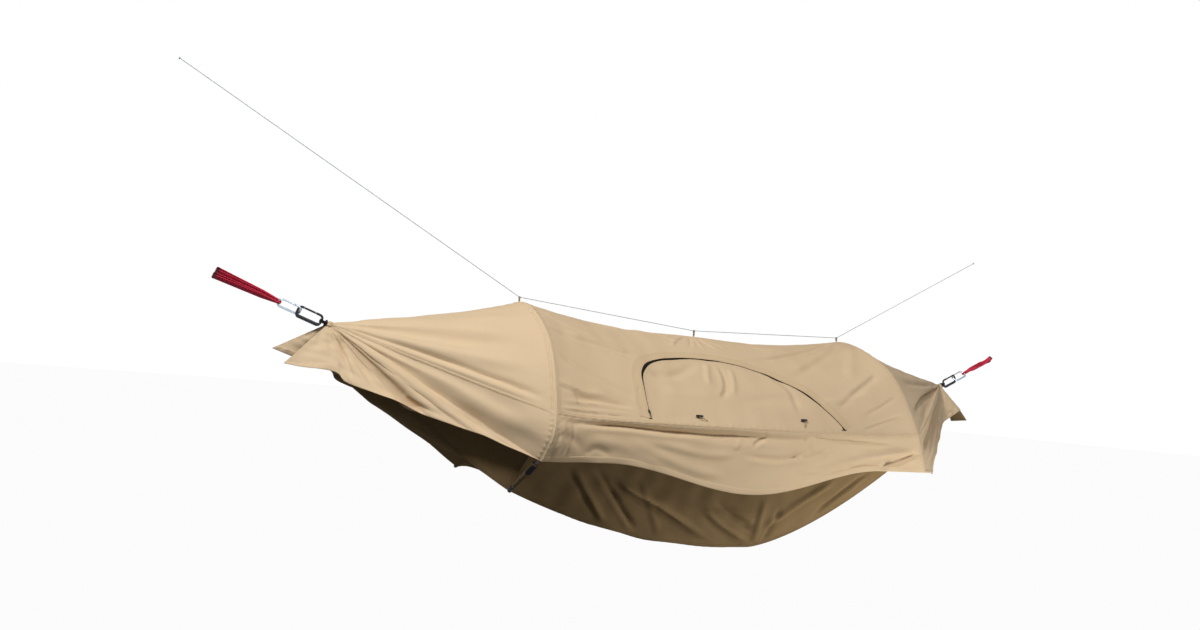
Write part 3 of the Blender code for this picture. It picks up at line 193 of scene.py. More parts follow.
# Dressing
RIM_HOOP = 0.2667  # an end panel's rim: down the hoop, along the skirt, then the free hem
RIM_SKIRT = 0.4
FOLD_GAIN = 1.35
SEAM_FADE = 0.028  # folds die out this close to a shared seam
PUCKER = 0.0011
PUCKER_LENGTH = 0.034
SEAM_WIDTH = 0.0125
SEAM_ROW = 0.0036
SEAM_RISE = 0.0022
HEM_WIDTH = 0.024
HEM_THICKNESS = 0.004
# Where the facing stands back from the zip: place along the arch, reach and share
ZIP_OPENS = ((0.22, 0.075, 1.0), (0.36, 0.07, 0.75), (0.5, 0.035, 0.45), (0.72, 0.03, 0.6),
             (0.85, 0.04, 0.5))
FACING_FROM = -0.0018
FACING_TO = 0.044
FACING_LIFT = 0.0017
FACING_THICKNESS = 0.0011
FACING_WANDER = 0.0062
LEAF_WANDER = -0.005
ZIP_WANDER = -0.0026
ZIP_SINK = -0.0005
TAPE_LAP = 0.0022
TAPE_THICKNESS = 0.0009
COIL_RADIUS = 0.0011
COIL_LIFT = 0.001
HINGE_STRIP_LIFT = 0.0003
# Where the slider and the toggles lie: x and up on the door, and the reach of calm cloth
CALM_PLACES = ((-0.464, 0.045, 0.055), (-0.455, 0.13, 0.06), (-0.22, 0.04, 0.03),
               (0.295, 0.045, 0.034))
CALMED = 0.98
EYE_SHADE_FROM = 0.935  # the share of the sling's length where the maroon sheet of painted shade over each eye starts
FAN_START = 0.0125
TUCKS = 17
TUCK = 0.0009
CALM = {-1: 0.45, 1: 0.3}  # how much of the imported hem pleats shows
TIGHT_KNOT = 0.58
BINDING_SPAN = (0.0145, 0.019)
BINDING_RADIUS = KNOT_RADIUS * 0.42
BINDING_CORD = 0.0022
LOOP_ROOT = KNOT_RADIUS * 0.5
LEGS_MEET = 0.45  # the loop legs' share of their full spread at the root
# how far the maroon sheet of painted shade stands proud of the sling
EYE_SHADE_PROUD = 0.0005


def unit(vectors):
    """The same directions at length one."""
    vectors = np.asarray(vectors, float)
    return vectors / np.maximum(np.linalg.norm(vectors, axis=-1, keepdims=True), 1e-12)


def mixed(first, second, share):
    """first (1 - share) + second share, for whole arrays of points."""
    share = np.asarray(share, float)[..., None]
    return np.asarray(first, float) * (1 - share) + np.asarray(second, float) * share


def paired(first, second):
    """Pairs of two coordinates, spread over their common grid."""
    return np.stack(np.broadcast_arrays(first, second), axis=-1)


def mirrored(points, side):
    """Far-side points carried to the side asked for."""
    return np.asarray(points, float) * (1.0, side, 1.0)


def eased(share):
    """3 t^2 - 2 t^3, held at 0 and 1 outside its range."""
    share = np.clip(share, 0, 1)
    return share * share * (3 - 2 * share)


def spline(points, at):
    """Points on a Catmull-Rom curve; at runs from 0 at the first point up by one a point."""
    points = np.asarray(points, float)
    padded = np.vstack([2 * points[0] - points[1], points, 2 * points[-1] - points[-2]])
    at = np.asarray(at, float)
    first = np.clip(np.floor(at).astype(int), 0, len(points) - 2)
    part = (at - first)[..., None]
    before, start, stop, after = (padded[first + step] for step in range(4))
    return 0.5 * (
        2 * start
        + (stop - before) * part
        + (2 * before - 5 * start + 4 * stop - after) * part**2
        + (3 * start - before - 3 * stop + after) * part**3
    )


def run_of(line):
    """The distance along a line at each of its points."""
    steps = np.linalg.norm(np.diff(line, axis=0), axis=1)
    return np.concatenate([[0.0], np.cumsum(steps)])


def even_spacing(line, count):
    """The same line read again at equal steps along its length."""
    along = run_of(line)
    wanted = np.linspace(0, along[-1], count)
    return np.stack([np.interp(wanted, along, line[:, k]) for k in range(line.shape[1])], axis=1)


def hoop_line(points, at, side=FAR):
    """The hoop's outline at 0 (peak) to 1 (long seam) to 2 (foot)."""
    points = np.asarray(points, float)
    before_peak = points[1] * (1, -1, 1)
    curve = spline(np.vstack([before_peak, points]), np.asarray(at, float) * 2 + 1)
    return mirrored(curve, side)


def ridge_at(share):
    """The top line between the peaks: a parabola's sag, with the photo's small crumples."""
    line = mixed(HEAD_HOOP[0], FOOT_HOOP[0], share)
    line[..., 2] -= RIDGE_SAG * 4 * share * (1 - share)
    line[..., 2] += LOOP_PULL * np.exp(-((share - 0.5) / 0.17) ** 2)
    crumple = np.sin(share * 61) * 0.6 + np.sin(share * 97 + 1.3) * 0.4
    where = np.exp(-((share - 0.3) / 0.13) ** 2) + 0.6 * np.exp(-((share - 0.72) / 0.1) ** 2)
    line[..., 2] += 0.0024 * crumple * where
    return line


def long_seam_at(share):
    """The long seam, where canopy, skirt and tub meet: straight, pulled in between hoops."""
    line = mixed(HEAD_HOOP[2], FOOT_HOOP[2], share)
    slack = 1 - (2 * share - 1) ** 8
    line[..., 1] -= SEAM_PULL_IN * slack
    line[..., 2] -= SEAM_DROP * slack
    return line


def skirt_hem_at(share):
    """The hem between the hoops, with its belly: a squared cosine round the middle."""
    line = mixed(hoop_line(HEAD_HOOP, HEAD_HEM_AT), FOOT_HEM, share)
    slack = 1 - (2 * share - 1) ** 8
    line[..., 1] += (SKIRT_FLARE - SEAM_PULL_IN) * slack
    reach = np.clip(np.abs(share - 0.5) / BELLY_HALF_SPAN, 0, 1)
    line[..., 2] -= SKIRT_BELLY * np.cos(reach * math.pi / 2) ** 2
    return line


def bow(line, down):
    """How far an edge curve stands off the straight line between its ends."""
    return line(down) - mixed(line(0.0), line(1.0), down)


def head_edge(part):
    """The skirt's edge on the head hoop, from the long seam down to the hem."""
    return hoop_line(HEAD_HOOP, 1 + (HEAD_HEM_AT - 1) * np.asarray(part, float))


def foot_edge(part):
    """The skirt's edge at the foot hoop, straight down from the long seam."""
    return mixed(FOOT_HOOP[2], FOOT_HEM, part)


def canopy(share, down, side):
    """The canopy between the hoops: ridge to long seam, with a share of the hoops' bow."""
    keep = MID_BOW + (1 - MID_BOW) * np.abs(2 * share - 1) ** 2.2
    flat = mixed(ridge_at(share), long_seam_at(share), down)
    head = bow(lambda at: hoop_line(HEAD_HOOP, at), down)
    foot = bow(lambda at: hoop_line(FOOT_HOOP, at), down)
    return mirrored(flat + keep[..., None] * mixed(head, foot, share), side)


def skirt(share, down, side):
    """The skirt, from the long seam down to the hem, bowed only beside the hoops."""
    keep = np.abs(2 * share - 1) ** 4
    flat = mixed(long_seam_at(share), skirt_hem_at(share), down)
    bows = mixed(bow(head_edge, down), bow(foot_edge, down), share)
    return mirrored(flat + keep[..., None] * bows, side)


def rim_of(end, side):
    """An end panel's rim as a table: down the hoop, down the skirt's edge, along the hem."""
    edge = head_edge if end < 0 else foot_edge
    hem = np.array(HEAD_HEM if end < 0 else FOOT_HEM_END)
    if end < 0 and side == FAR:
        hem[-3:] += np.outer((0.2, 0.6, 1.0), FAR_LEAF_LIFT)
        hem[-3:, 1] += FAR_LEAF_TURN
    top = hoop_line(HOOPS[end], np.linspace(0, 1, 161))
    lower = edge(np.linspace(0, 1, 81))[1:]
    route = np.vstack([lower[-1], hem])
    dense = spline(route, np.linspace(0, len(hem), 40 * len(hem)))
    table = np.vstack([top, lower, even_spacing(dense, 361)[1:]])
    at = np.concatenate([
        np.linspace(0, RIM_HOOP, 161), np.linspace(RIM_HOOP, RIM_SKIRT, 81)[1:],
        np.linspace(RIM_SKIRT, 1, 361)[1:],
    ])
    return at, table


def end_panel(around, rows, end, side):
    """A canopy end: straight lines from the gather out to the rim, sagging by the ridge.

    Soft folds are sines across the hoop's part that swell in mid-length; pleats are sines
    along the hem that grow outwards; tucks are fine sines that die away from the gather.
    """
    at, table = rim_of(end, side)
    rim = np.stack([np.interp(around, at, table[:, k]) for k in range(3)], axis=-1)
    ahead = np.stack([
        np.interp(np.minimum(around + 0.004, 1), at, table[:, k])
        - np.interp(np.maximum(around - 0.004, 0), at, table[:, k]) for k in range(3)
    ], axis=-1)
    centre = GATHERS[end]
    start = centre + unit(rim - centre) * FAN_START + np.array((end * 0.004, 0.0, 0.006))
    out = rows ** 1.25
    normals = unit(np.cross(rim - centre, ahead))
    on_hoop = np.clip(around / RIM_SKIRT, 0, 1)
    on_hem = np.clip((around - RIM_SKIRT) / (1 - RIM_SKIRT), 0, 1)
    swell = 4 * out * (1 - out)
    soft = SOFT_FOLD * np.sin(on_hoop * SOFT_FOLDS * 2 * math.pi) * eased(1 - on_hem * 8)
    pleat = TAIL_PLEAT * np.sin(on_hem * TAIL_PLEATS * 2 * math.pi)
    pleat *= np.minimum(on_hem * 4, 1) * (1 - on_hem * 0.45) * CALM[end]
    tucks = TUCK * np.sin(around * TUCKS * 2 * math.pi + 3 * around)
    tucks *= eased(rows * 12) * np.exp(-rows / 0.12)
    lift = swell * soft + out ** 0.8 * pleat + tucks
    points = mixed(start, rim, out) + lift[..., None] * normals
    points[..., 2] -= END_SAG[end] * swell * np.clip(1 - 2 * around / RIM_HOOP, 0, 1)
    return mirrored(points, side)


def tub_corner(end, side):
    """A bottom corner of the tub, just inside the foot of a hoop."""
    foot = np.array(HOOPS[end][-1])
    foot[1] -= TUB_CORNER_INSET
    foot[2] += TUB_CORNER_INSET / 3
    return mirrored(foot, side)


def tub_top(end, side):
    """The tub's top edge where it passes behind a pole, at the long seam."""
    seam = np.array(HOOPS[end][2])
    seam[1] -= TUB_HOOP_INSET
    seam[2] -= TUB_HOOP_INSET / 3
    return mirrored(seam, side)


def tub_edge_at(share, side):
    """The tub's bottom edge: two power curves that meet at its lowest point."""
    corners = [tub_corner(end, FAR) for end in (-1, 1)]
    line = mixed(corners[0], corners[1], share)
    line[..., 1] += TUB_MID_FLARE * 4 * share * (1 - share)
    head_run = (TUB_LOW_X - line[..., 0]) / (TUB_LOW_X - corners[0][0])
    foot_run = (line[..., 0] - TUB_LOW_X) / (corners[1][0] - TUB_LOW_X)
    head_part = (corners[0][2] - TUB_LOW_Z) * np.clip(head_run, 0, 1) ** TUB_BELLY_HEAD
    foot_part = (corners[1][2] - TUB_LOW_Z) * np.clip(foot_run, 0, 1) ** TUB_BELLY_FOOT
    line[..., 2] = TUB_LOW_Z + head_part + foot_part
    if side == FAR:
        line[..., 2] += far_lift(share)
    return mirrored(line, side)


def far_lift(share):
    """How far the far bottom edge is drawn up beside the head: x exp(1 - x)."""
    return FAR_EDGE_LIFT * share / FAR_LIFT_AT * np.exp(1 - share / FAR_LIFT_AT)


def tub_top_at(share, side):
    """The tub's top edge: just under the long seam, and further in behind each pole."""
    line = long_seam_at(share)
    near_pole = np.abs(2 * share - 1) ** 6
    inset = TUB_TOP_INSET + (TUB_HOOP_INSET - TUB_TOP_INSET) * near_pole
    line[..., 1] -= inset
    line[..., 2] -= inset / 3 + TUB_TOP_INSET * (1 - near_pole)
    return mirrored(line, side)


def tub_wall(share, down, side):
    """A side wall of the tub, bulging by a sine below its middle."""
    points = mixed(tub_top_at(share, side), tub_edge_at(share, side), down)
    points[..., 1] += side * WALL_BULGE * np.sin(down * math.pi) * np.sin(share * math.pi)
    tucked = (1 - np.exp(-down / 0.025)) * np.exp(-(down / 0.34) ** 2)
    points[..., 1] -= side * WALL_TUCK * tucked * eased(share * 8) * eased((1 - share) * 8)
    return points


def tub_floor(share, across):
    """The floor from its near edge (-1) to its far edge (1), a parabola across."""
    points = tub_edge_at(share, NEAR)
    end_lift = FLOOR_END_LIFT[0] * (1 - share) + FLOOR_END_LIFT[1] * share
    hang = end_lift - (end_lift + FLOOR_SAG) * np.sin(share * math.pi) ** 0.7
    points[..., 1] *= -across
    points[..., 2] += hang * (1 - across**2) + far_lift(share) * ((1 + across) / 2) ** 2
    return points


def apex_ring(end, turn):
    """Where the tub's cloth leaves the knot: a small arc under the canopy's cloth."""
    ring = np.empty((*turn.shape, 3))
    ring[..., 0] = GATHERS[end][0] - end * TUB_APEX_OUT
    ring[..., 1] = TUB_APEX_RADIUS * np.sin(turn)
    ring[..., 2] = GATHERS[end][2] - TUB_APEX_DROP - TUB_APEX_RADIUS * np.cos(turn)
    return ring


def hung(start, rim, low, out):
    """A quadratic sag from the start, towards the low place, out to the rim."""
    return mixed(mixed(start, low, out), mixed(low, rim, out), out)


def end_low(start, rim, end, belly):
    """What an end hangs towards: its low place by the belly's share, else under the chord."""
    edge = (start + rim) / 2 - np.array((0.0, 0.0, EDGE_DROP))
    return mixed(edge, TUB_HANG[end], belly)


def end_floor(out, across, end):
    """The tub's floor beyond a hoop, hung from the knot to the floor's last row."""
    rim = tub_floor(np.full(across.shape, 0.0 if end < 0 else 1.0), across)
    start = apex_ring(end, across * CORNER_TURN)
    belly = 1 - np.abs(across) ** EDGE_TAUT if end < 0 else np.ones(across.shape)
    return hung(start, rim, end_low(start, rim, end, belly), out)


def end_side(out, rise, end, side):
    """The tub's side beyond a hoop, hung from the knot to the line from corner to top."""
    rim = mixed(tub_corner(end, side), tub_top(end, side), rise)
    start = apex_ring(end, side * (CORNER_TURN + rise * SIDE_TURN))
    belly = np.full(rise.shape, 0.0 if end < 0 else 1.0)
    low = mixed(end_low(start, rim, end, belly), (start + rim) / 2, rise)
    return hung(start, rim, low, out)


def tail(out, along, end):
    """The tub's loose tail: straight lines from the knot to its two-piece rim."""
    centre = GATHERS[end]
    corners = [centre + (end * x, 0, z) for x, z in (HEAD_TAIL if end < 0 else TUB_TAIL)]
    first = mixed(corners[2], corners[1], np.clip(along * 1.5, 0, 1))
    rim = mixed(first, corners[0], np.clip(along * 3 - 2, 0, 1))
    start = centre + unit(rim - centre) * CLOTH_START
    return mixed(start, rim, out)


def normals_of(surface, first, second, outward):
    """Unit normals from central differences, turned to the side that outward points to."""
    step = 0.003
    low, high = np.maximum(first - step, 0), np.minimum(first + step, 1)
    by_first = surface(high, second) - surface(low, second)
    low, high = np.maximum(second - step, 0), np.minimum(second + step, 1)
    by_second = surface(first, high) - surface(first, low)
    normals = unit(np.cross(by_first, by_second))
    return normals * np.where((normals @ np.array(outward, float))[..., None] < 0, -1, 1)


def fold_heights(points, normals, surface, folds, narrow=None):
    """How far folds lift the cloth at each point.

    A fold is a line on the cloth with a width and a rise. With g the distance from the line
    over the width, a roll is exp(-g^2), and a lapped pleat is 2.33 g exp(-g^2), up on one
    side and down on the other; the lean mixes the two. Both ends taper off. On a fan the
    widths shrink towards the knot by the share in narrow.
    """
    pace = 4 if narrow is None else 12
    narrow = 1.0 if narrow is None else narrow.ravel()
    flat_points = points.reshape(-1, 3)
    flat_normals = normals.reshape(-1, 3)
    rows = np.arange(len(flat_points))
    height = np.zeros(len(flat_points))
    for *route, width, rise, lean in folds:
        route = np.reshape(route, (-1, 2))
        places = spline(route, np.linspace(0, len(route) - 1, 17))
        line = surface(np.clip(places[:, 0], 0, 1), np.clip(places[:, 1], 0, 1))
        step = np.diff(line, axis=0)
        gap = flat_points[:, None] - line[:-1]
        part = np.clip((gap * step).sum(-1) / (step**2).sum(-1), 0, 1)
        gap = gap - step * part[..., None]
        away = np.linalg.norm(gap, axis=-1)
        nearest = away.argmin(1)
        turned = np.cross(step[nearest], gap[rows, nearest])
        side = np.sign((turned * flat_normals).sum(-1))
        reach = away[rows, nearest] / (width * narrow)
        bell = np.exp(-reach**2)
        along = (nearest + part[rows, nearest]) / len(step)
        shape = (1 - lean) * bell + lean * 2.33 * side * reach * bell
        height += FOLD_GAIN * rise * shape * eased(along * pace) * eased((1 - along) * 4)
    return height.reshape(points.shape[:-1])


def ripples(first, second, seed, size):
    """Slow waves of slack cloth: a sum of sines in seeded directions."""
    pick = np.random.default_rng(seed)
    height = np.zeros(np.broadcast(first, second).shape)
    for _ in range(7):
        turn, phase = pick.uniform(0, math.pi), pick.uniform(0, 2 * math.pi)
        pace = pick.uniform(5, 17)
        swing = (first * math.cos(turn) + second * math.sin(turn)) * pace
        height += np.sin(swing * 2 * math.pi / 3 + phase) / math.sqrt(pace)
    return height * size


def from_edges(first, second, lengths, shared):
    """The distance in from a panel's nearest shared edge, and the distance along that edge."""
    gaps = (first * lengths[0], (1 - first) * lengths[0],
            second * lengths[1], (1 - second) * lengths[1])
    away, run = np.full(first.shape, 1.0), np.zeros(first.shape)
    for side, gap in enumerate(gaps):
        if shared[side]:
            along = second * lengths[1] if side < 2 else first * lengths[0]
            run = np.where(gap < away, along, run)
            away = np.minimum(gap, away)
    return away, run


def puckered(height, run, away):
    """The height with puckers: a sine along a seam, dying out away from it."""
    pucker = np.sin(run * 2 * math.pi / PUCKER_LENGTH + 2 * np.sin(run * 23))
    return height + PUCKER * pucker * eased(away / 0.008) * np.exp(-away / 0.022)


def dressed(surface, first, second, outward, lengths, shared, folds, seed, slack=0.001,
            fan=0.0):
    """A panel's points with its folds, slack waves, and puckers beside its seams.

    On a fan the folds grow with the distance from the knot.
    """
    points = surface(first, second)
    normals = normals_of(surface, first, second, outward)
    away, _ = from_edges(first, second, lengths, shared)
    narrow = np.clip(second / fan, 0.25, 1) if fan else None
    height = fold_heights(points, normals, surface, folds, narrow)
    height = height + ripples(first * lengths[0] / 0.5, second * lengths[1] / 0.5, seed, slack)
    height = height * eased(away / (SEAM_FADE * (narrow if fan else 1.0)))
    if fan:
        height = height * np.clip(second / fan, 0, 1)
    height = puckered(height, first * lengths[0] + second * lengths[1], away)
    return points + height[..., None] * normals, normals


def grid_faces(rows, columns):
    """Four-cornered cells over a grid of points."""
    index = np.arange(rows * columns).reshape(rows, columns)
    return np.stack([index[:-1, :-1], index[1:, :-1], index[1:, 1:], index[:-1, 1:]],
                    axis=-1).reshape(-1, 4)


def walled(points, cells, thickness, outward=None):
    """A cloth's closed wall: each point goes half the thickness both ways along its normal.

    The normals add up the cells' cross products. Edges that only one cell has get a rim.
    """
    if outward is not None:
        middle = cells[len(cells) // 2]
        corner = points[middle]
        lean = np.cross(corner[1] - corner[0], corner[3] - corner[0])
        if lean @ np.array(outward, float) < 0:
            cells = cells[:, ::-1]
    corners = points[cells]
    facing = np.cross(corners[:, 2] - corners[:, 0], corners[:, 3] - corners[:, 1])
    normals = np.zeros_like(points)
    for corner in range(4):
        np.add.at(normals, cells[:, corner], facing)
    normals = unit(normals)
    count = len(points)
    edges = np.concatenate([cells[:, [k, (k + 1) % 4]] for k in range(4)])
    there = edges[:, 0] * count + edges[:, 1]
    back = edges[:, 1] * count + edges[:, 0]
    rim = edges[~np.isin(there, back)]
    walls = np.stack([rim[:, 1], rim[:, 0], rim[:, 0] + count, rim[:, 1] + count], axis=1)
    both = np.vstack([points + normals * thickness / 2, points - normals * thickness / 2])
    return both, np.vstack([cells, cells[:, ::-1] + count, walls])


def eye_place(end):
    """The flat inside of the eye at the end of a sling's upper leg."""
    out, _, face = chain_axes(end, CHAINS[end]["twist"])
    reach = CHAINS[end]["sling_end"] - SLING_THICKNESS
    return GATHERS[end] + out * reach + face * CHAINS[end]["legs"]


def chain_axes(end, twist=0.0):
    """Out along a hanging chain, across a link's face, and square to its face."""
    rise = math.radians(CHAINS[end]["rise"])
    out = np.array([end * math.cos(rise), 0.0, math.sin(rise)])
    down = np.array([end * math.sin(rise), 0.0, -math.cos(rise)])
    turn = math.radians(twist)
    across = down * math.cos(turn) + np.array([0.0, 1.0, 0.0]) * math.sin(turn)
    return out, across, np.cross(out, across)


SHIFT = -eye_place(-1)


def node(tree, kind, settings=None, sockets=None):
    """A shader node with its settings, and sockets that hold a value or take a link."""
    made = tree.nodes.new(kind)
    for key, value in (settings or {}).items():
        setattr(made, key, value)
    for key, value in (sockets or {}).items():
        if isinstance(value, bpy.types.NodeSocket):
            tree.links.new(value, made.inputs[key])
        else:
            made.inputs[key].default_value = value
    return made


def maths(tree, operation, first, second=0.0, third=0.0):
    """One step of arithmetic in a shader."""
    settings = {"operation": operation}
    return node(tree, "ShaderNodeMath", settings, {0: first, 1: second, 2: third}).outputs[0]


def scaled(tree, value, gain, base=0.0):
    """A value times a gain, plus a base, in a shader."""
    return maths(tree, "MULTIPLY_ADD", value, gain, base)


def between(tree, value, low, high):
    """0 below low, 1 above high, and an even rise between them."""
    sockets = {"Value": value, "From Min": low, "From Max": high}
    return node(tree, "ShaderNodeMapRange", {"clamp": True}, sockets).outputs[0]


def blended(tree, share, first, second):
    """A colour between two colours."""
    settings = {"data_type": "RGBA"}
    sockets = {"Factor": share, 6: first, 7: second}
    return node(tree, "ShaderNodeMix", settings, sockets).outputs[2]


def new_group(name, inputs, outputs):
    """An empty node group with number sockets in, and numbers out."""
    tree = bpy.data.node_groups.new(name, "ShaderNodeTree")
    for label, value in inputs.items():
        socket = tree.interface.new_socket(label, in_out="INPUT", socket_type="NodeSocketFloat")
        socket.default_value = value
    for label in outputs:
        tree.interface.new_socket(label, in_out="OUTPUT", socket_type="NodeSocketFloat")
    return tree, tree.nodes.new("NodeGroupInput").outputs, tree.nodes.new("NodeGroupOutput").inputs


def map_parts(tree, name):
    """A piece's UV map, and its parts along and across."""
    flat = node(tree, "ShaderNodeUVMap", {"uv_map": name}).outputs[0]
    return flat, node(tree, "ShaderNodeSeparateXYZ", None, {0: flat}).outputs


def weave_group():
    """Crossed threads on the cloth's own UV map, in metres, with thick slubs along both.

    Thread is sin(2 pi u / pitch) times sin(2 pi v / pitch), lifted to 0..1.
    """
    tree, given, result = new_group("weave", {"Pitch": 0.0011}, ("Thread", "Slub"))
    flat, parts = map_parts(tree, "cloth")
    pace = maths(tree, "DIVIDE", 2 * math.pi, given["Pitch"])
    waves = [maths(tree, "SINE", maths(tree, "MULTIPLY", parts[k], pace)) for k in (0, 1)]
    woven = maths(tree, "MULTIPLY", waves[0], waves[1])
    tree.links.new(scaled(tree, woven, 0.5, 0.5), result["Thread"])
    slubs = []
    for scale in ((30.0, 700.0, 1.0), (700.0, 30.0, 1.0)):
        sockets = {"Vector": flat, "Scale": scale}
        turned = node(tree, "ShaderNodeMapping", None, sockets).outputs[0]
        noise = node(tree, "ShaderNodeTexNoise", None, {"Vector": turned, "Scale": 1.0})
        slubs.append(noise.outputs[0])
    both = maths(tree, "ADD", slubs[0], slubs[1])
    tree.links.new(between(tree, both, 0.7, 1.3), result["Slub"])
    return tree


def stitch_group():
    """Two rows of stitches inside a sewn edge, and the doubled cloth that they hold.

    It reads the map "sewn": the distance in from the edge, and the distance along it. A row
    is a narrow band round its distance, broken into stitches by a sine along the edge.
    """
    tree, given, result = new_group(
        "stitch_rows", {"First": 0.003, "Second": 0.0095, "Fold": 0.0125},
        ("Thread", "Doubled", "Dip_and_painted_shade"),
    )
    _, parts = map_parts(tree, "sewn")
    rows, dips = [], []
    for label in ("First", "Second"):
        gap = maths(tree, "ABSOLUTE", maths(tree, "SUBTRACT", parts[0], given[label]))
        rows.append(between(tree, gap, 0.0011, 0.0005))
        # the dip is a groove over each row, and also the mask of the painted shade in it
        dips.append(between(tree, gap, 0.0026, 0.0))
    row = maths(tree, "MAXIMUM", *rows)
    beat = maths(tree, "SINE", maths(tree, "MULTIPLY", parts[1], 2 * math.pi / 0.0034))
    tree.links.new(maths(tree, "MULTIPLY", row, between(tree, beat, -0.7, -0.2)), result["Thread"])
    inner = maths(tree, "SUBTRACT", parts[0], given["Fold"])
    tree.links.new(between(tree, inner, 0.0004, -0.0004), result["Doubled"])
    tree.links.new(maths(tree, "MAXIMUM", *dips), result["Dip_and_painted_shade"])
    return tree


def patina_group():
    """Broad fading and fine specks over a piece, from two noises on Object coordinates."""
    tree, given, result = new_group("patina", {"Broad": 5.0, "Fine": 160.0}, ("Fade", "Speck"))
    place = node(tree, "ShaderNodeTexCoord").outputs["Object"]
    for label, target, detail in (("Broad", "Fade", 4.0), ("Fine", "Speck", 2.0)):
        sockets = {"Vector": place, "Scale": given[label], "Detail": detail}
        noise = node(tree, "ShaderNodeTexNoise", None, sockets)
        tree.links.new(between(tree, noise.outputs[0], 0.32, 0.68), result[target])
    return tree


def rib_group():
    """Webbing and braid on the map "cloth": ribs along it, crossed by slanted threads."""
    tree, given, result = new_group("ribs", {"Rib": 0.0021, "Slant": 0.0017}, ("Rib", "Thread"))
    _, parts = map_parts(tree, "cloth")
    rib = maths(tree, "DIVIDE", parts[1], given["Rib"])
    ribs = maths(tree, "SINE", maths(tree, "MULTIPLY", rib, 2 * math.pi))
    tree.links.new(scaled(tree, ribs, 0.5, 0.5), result["Rib"])
    slants = []
    for step in ("ADD", "SUBTRACT"):
        turned = maths(tree, "DIVIDE", maths(tree, step, parts[0], parts[1]), given["Slant"])
        slants.append(maths(tree, "SINE", maths(tree, "MULTIPLY", turned, 2 * math.pi)))
    crossed = maths(tree, "MULTIPLY", slants[0], slants[1])
    tree.links.new(scaled(tree, crossed, 0.5, 0.5), result["Thread"])
    return tree


GROUPS = {"weave": weave_group(), "stitches": stitch_group(), "patina": patina_group(),
          "ribs": rib_group()}


def placed(tree, name, sockets=None):
    """A copy of a shared group in one material."""
    return node(tree, "ShaderNodeGroup", {"node_tree": GROUPS[name]}, sockets).outputs


def shader_of(name, **constants):
    """A new material and its Principled shader, with what is the same all over it."""
    made = bpy.data.materials.new(name)
    made.use_nodes = True
    tree = made.node_tree
    shader = tree.nodes["Principled BSDF"]
    for label, value in constants.items():
        shader.inputs[label.replace("_", " ")].default_value = value
    return made, tree, shader.inputs


def bumped(tree, sockets, height, distance, strength=1.0):
    """Sends a height to the shader's normal."""
    values = {"Height": height, "Distance": distance, "Strength": strength}
    tree.links.new(node(tree, "ShaderNodeBump", None, values).outputs[0], sockets["Normal"])


def cloth_material(name, light, dark, thread, rough, pitch, sheen, specular=0.5):
    """Woven cloth: mottled colour, slubs, and two rows of stitches beside sewn edges, with painted
    shade in their grooves.
    """
    made, tree, sockets = shader_of(name, Sheen_Weight=sheen, Sheen_Roughness=0.45,
                                    Specular_IOR_Level=specular)
    weave = placed(tree, "weave", {"Pitch": pitch})
    patina = placed(tree, "patina", {"Broad": 4.0, "Fine": 210.0})
    stitch = placed(tree, "stitches")
    share = scaled(tree, patina["Fade"], 0.5)
    share = scaled(tree, weave["Slub"], 0.28, share)
    share = scaled(tree, patina["Speck"], 0.12, share)
    colour = blended(tree, share, light, dark)
    # painted shade: the colour darkens towards dark in the stitch grooves
    colour = blended(tree, maths(tree, "MULTIPLY", stitch["Dip_and_painted_shade"], 0.45), colour, dark)
    colour = blended(tree, stitch["Thread"], colour, thread)
    tree.links.new(colour, sockets["Base Color"])
    spread = scaled(tree, patina["Fade"], 0.08, rough)
    tree.links.new(scaled(tree, weave["Slub"], 0.05, spread), sockets["Roughness"])
    height = scaled(tree, weave["Thread"], 0.00008)
    height = scaled(tree, weave["Slub"], 0.0001, height)
    height = scaled(tree, stitch["Doubled"], 0.0007, height)
    height = scaled(tree, stitch["Dip_and_painted_shade"], -0.0006, height)
    height = scaled(tree, stitch["Thread"], 0.0003, height)
    bumped(tree, sockets, height, 1.0, 0.9)
    return made


def webbing_material(name, light, dark, rough, sheen, specular=0.5):
    """Ribbed webbing with slanted threads, paler where it is worn on the ribs."""
    made, tree, sockets = shader_of(name, Sheen_Weight=sheen, Sheen_Roughness=0.35,
                                    Specular_IOR_Level=specular)
    ribs = placed(tree, "ribs")
    patina = placed(tree, "patina", {"Broad": 22.0, "Fine": 320.0})
    share = scaled(tree, ribs["Rib"], -0.35, 0.55)
    share = scaled(tree, patina["Fade"], 0.45, share)
    tree.links.new(blended(tree, share, light, dark), sockets["Base Color"])
    tree.links.new(scaled(tree, patina["Speck"], 0.15, rough), sockets["Roughness"])
    height = scaled(tree, ribs["Rib"], 0.00025)
    height = scaled(tree, ribs["Thread"], 0.00012, height)
    bumped(tree, sockets, height, 1.0)
    return made


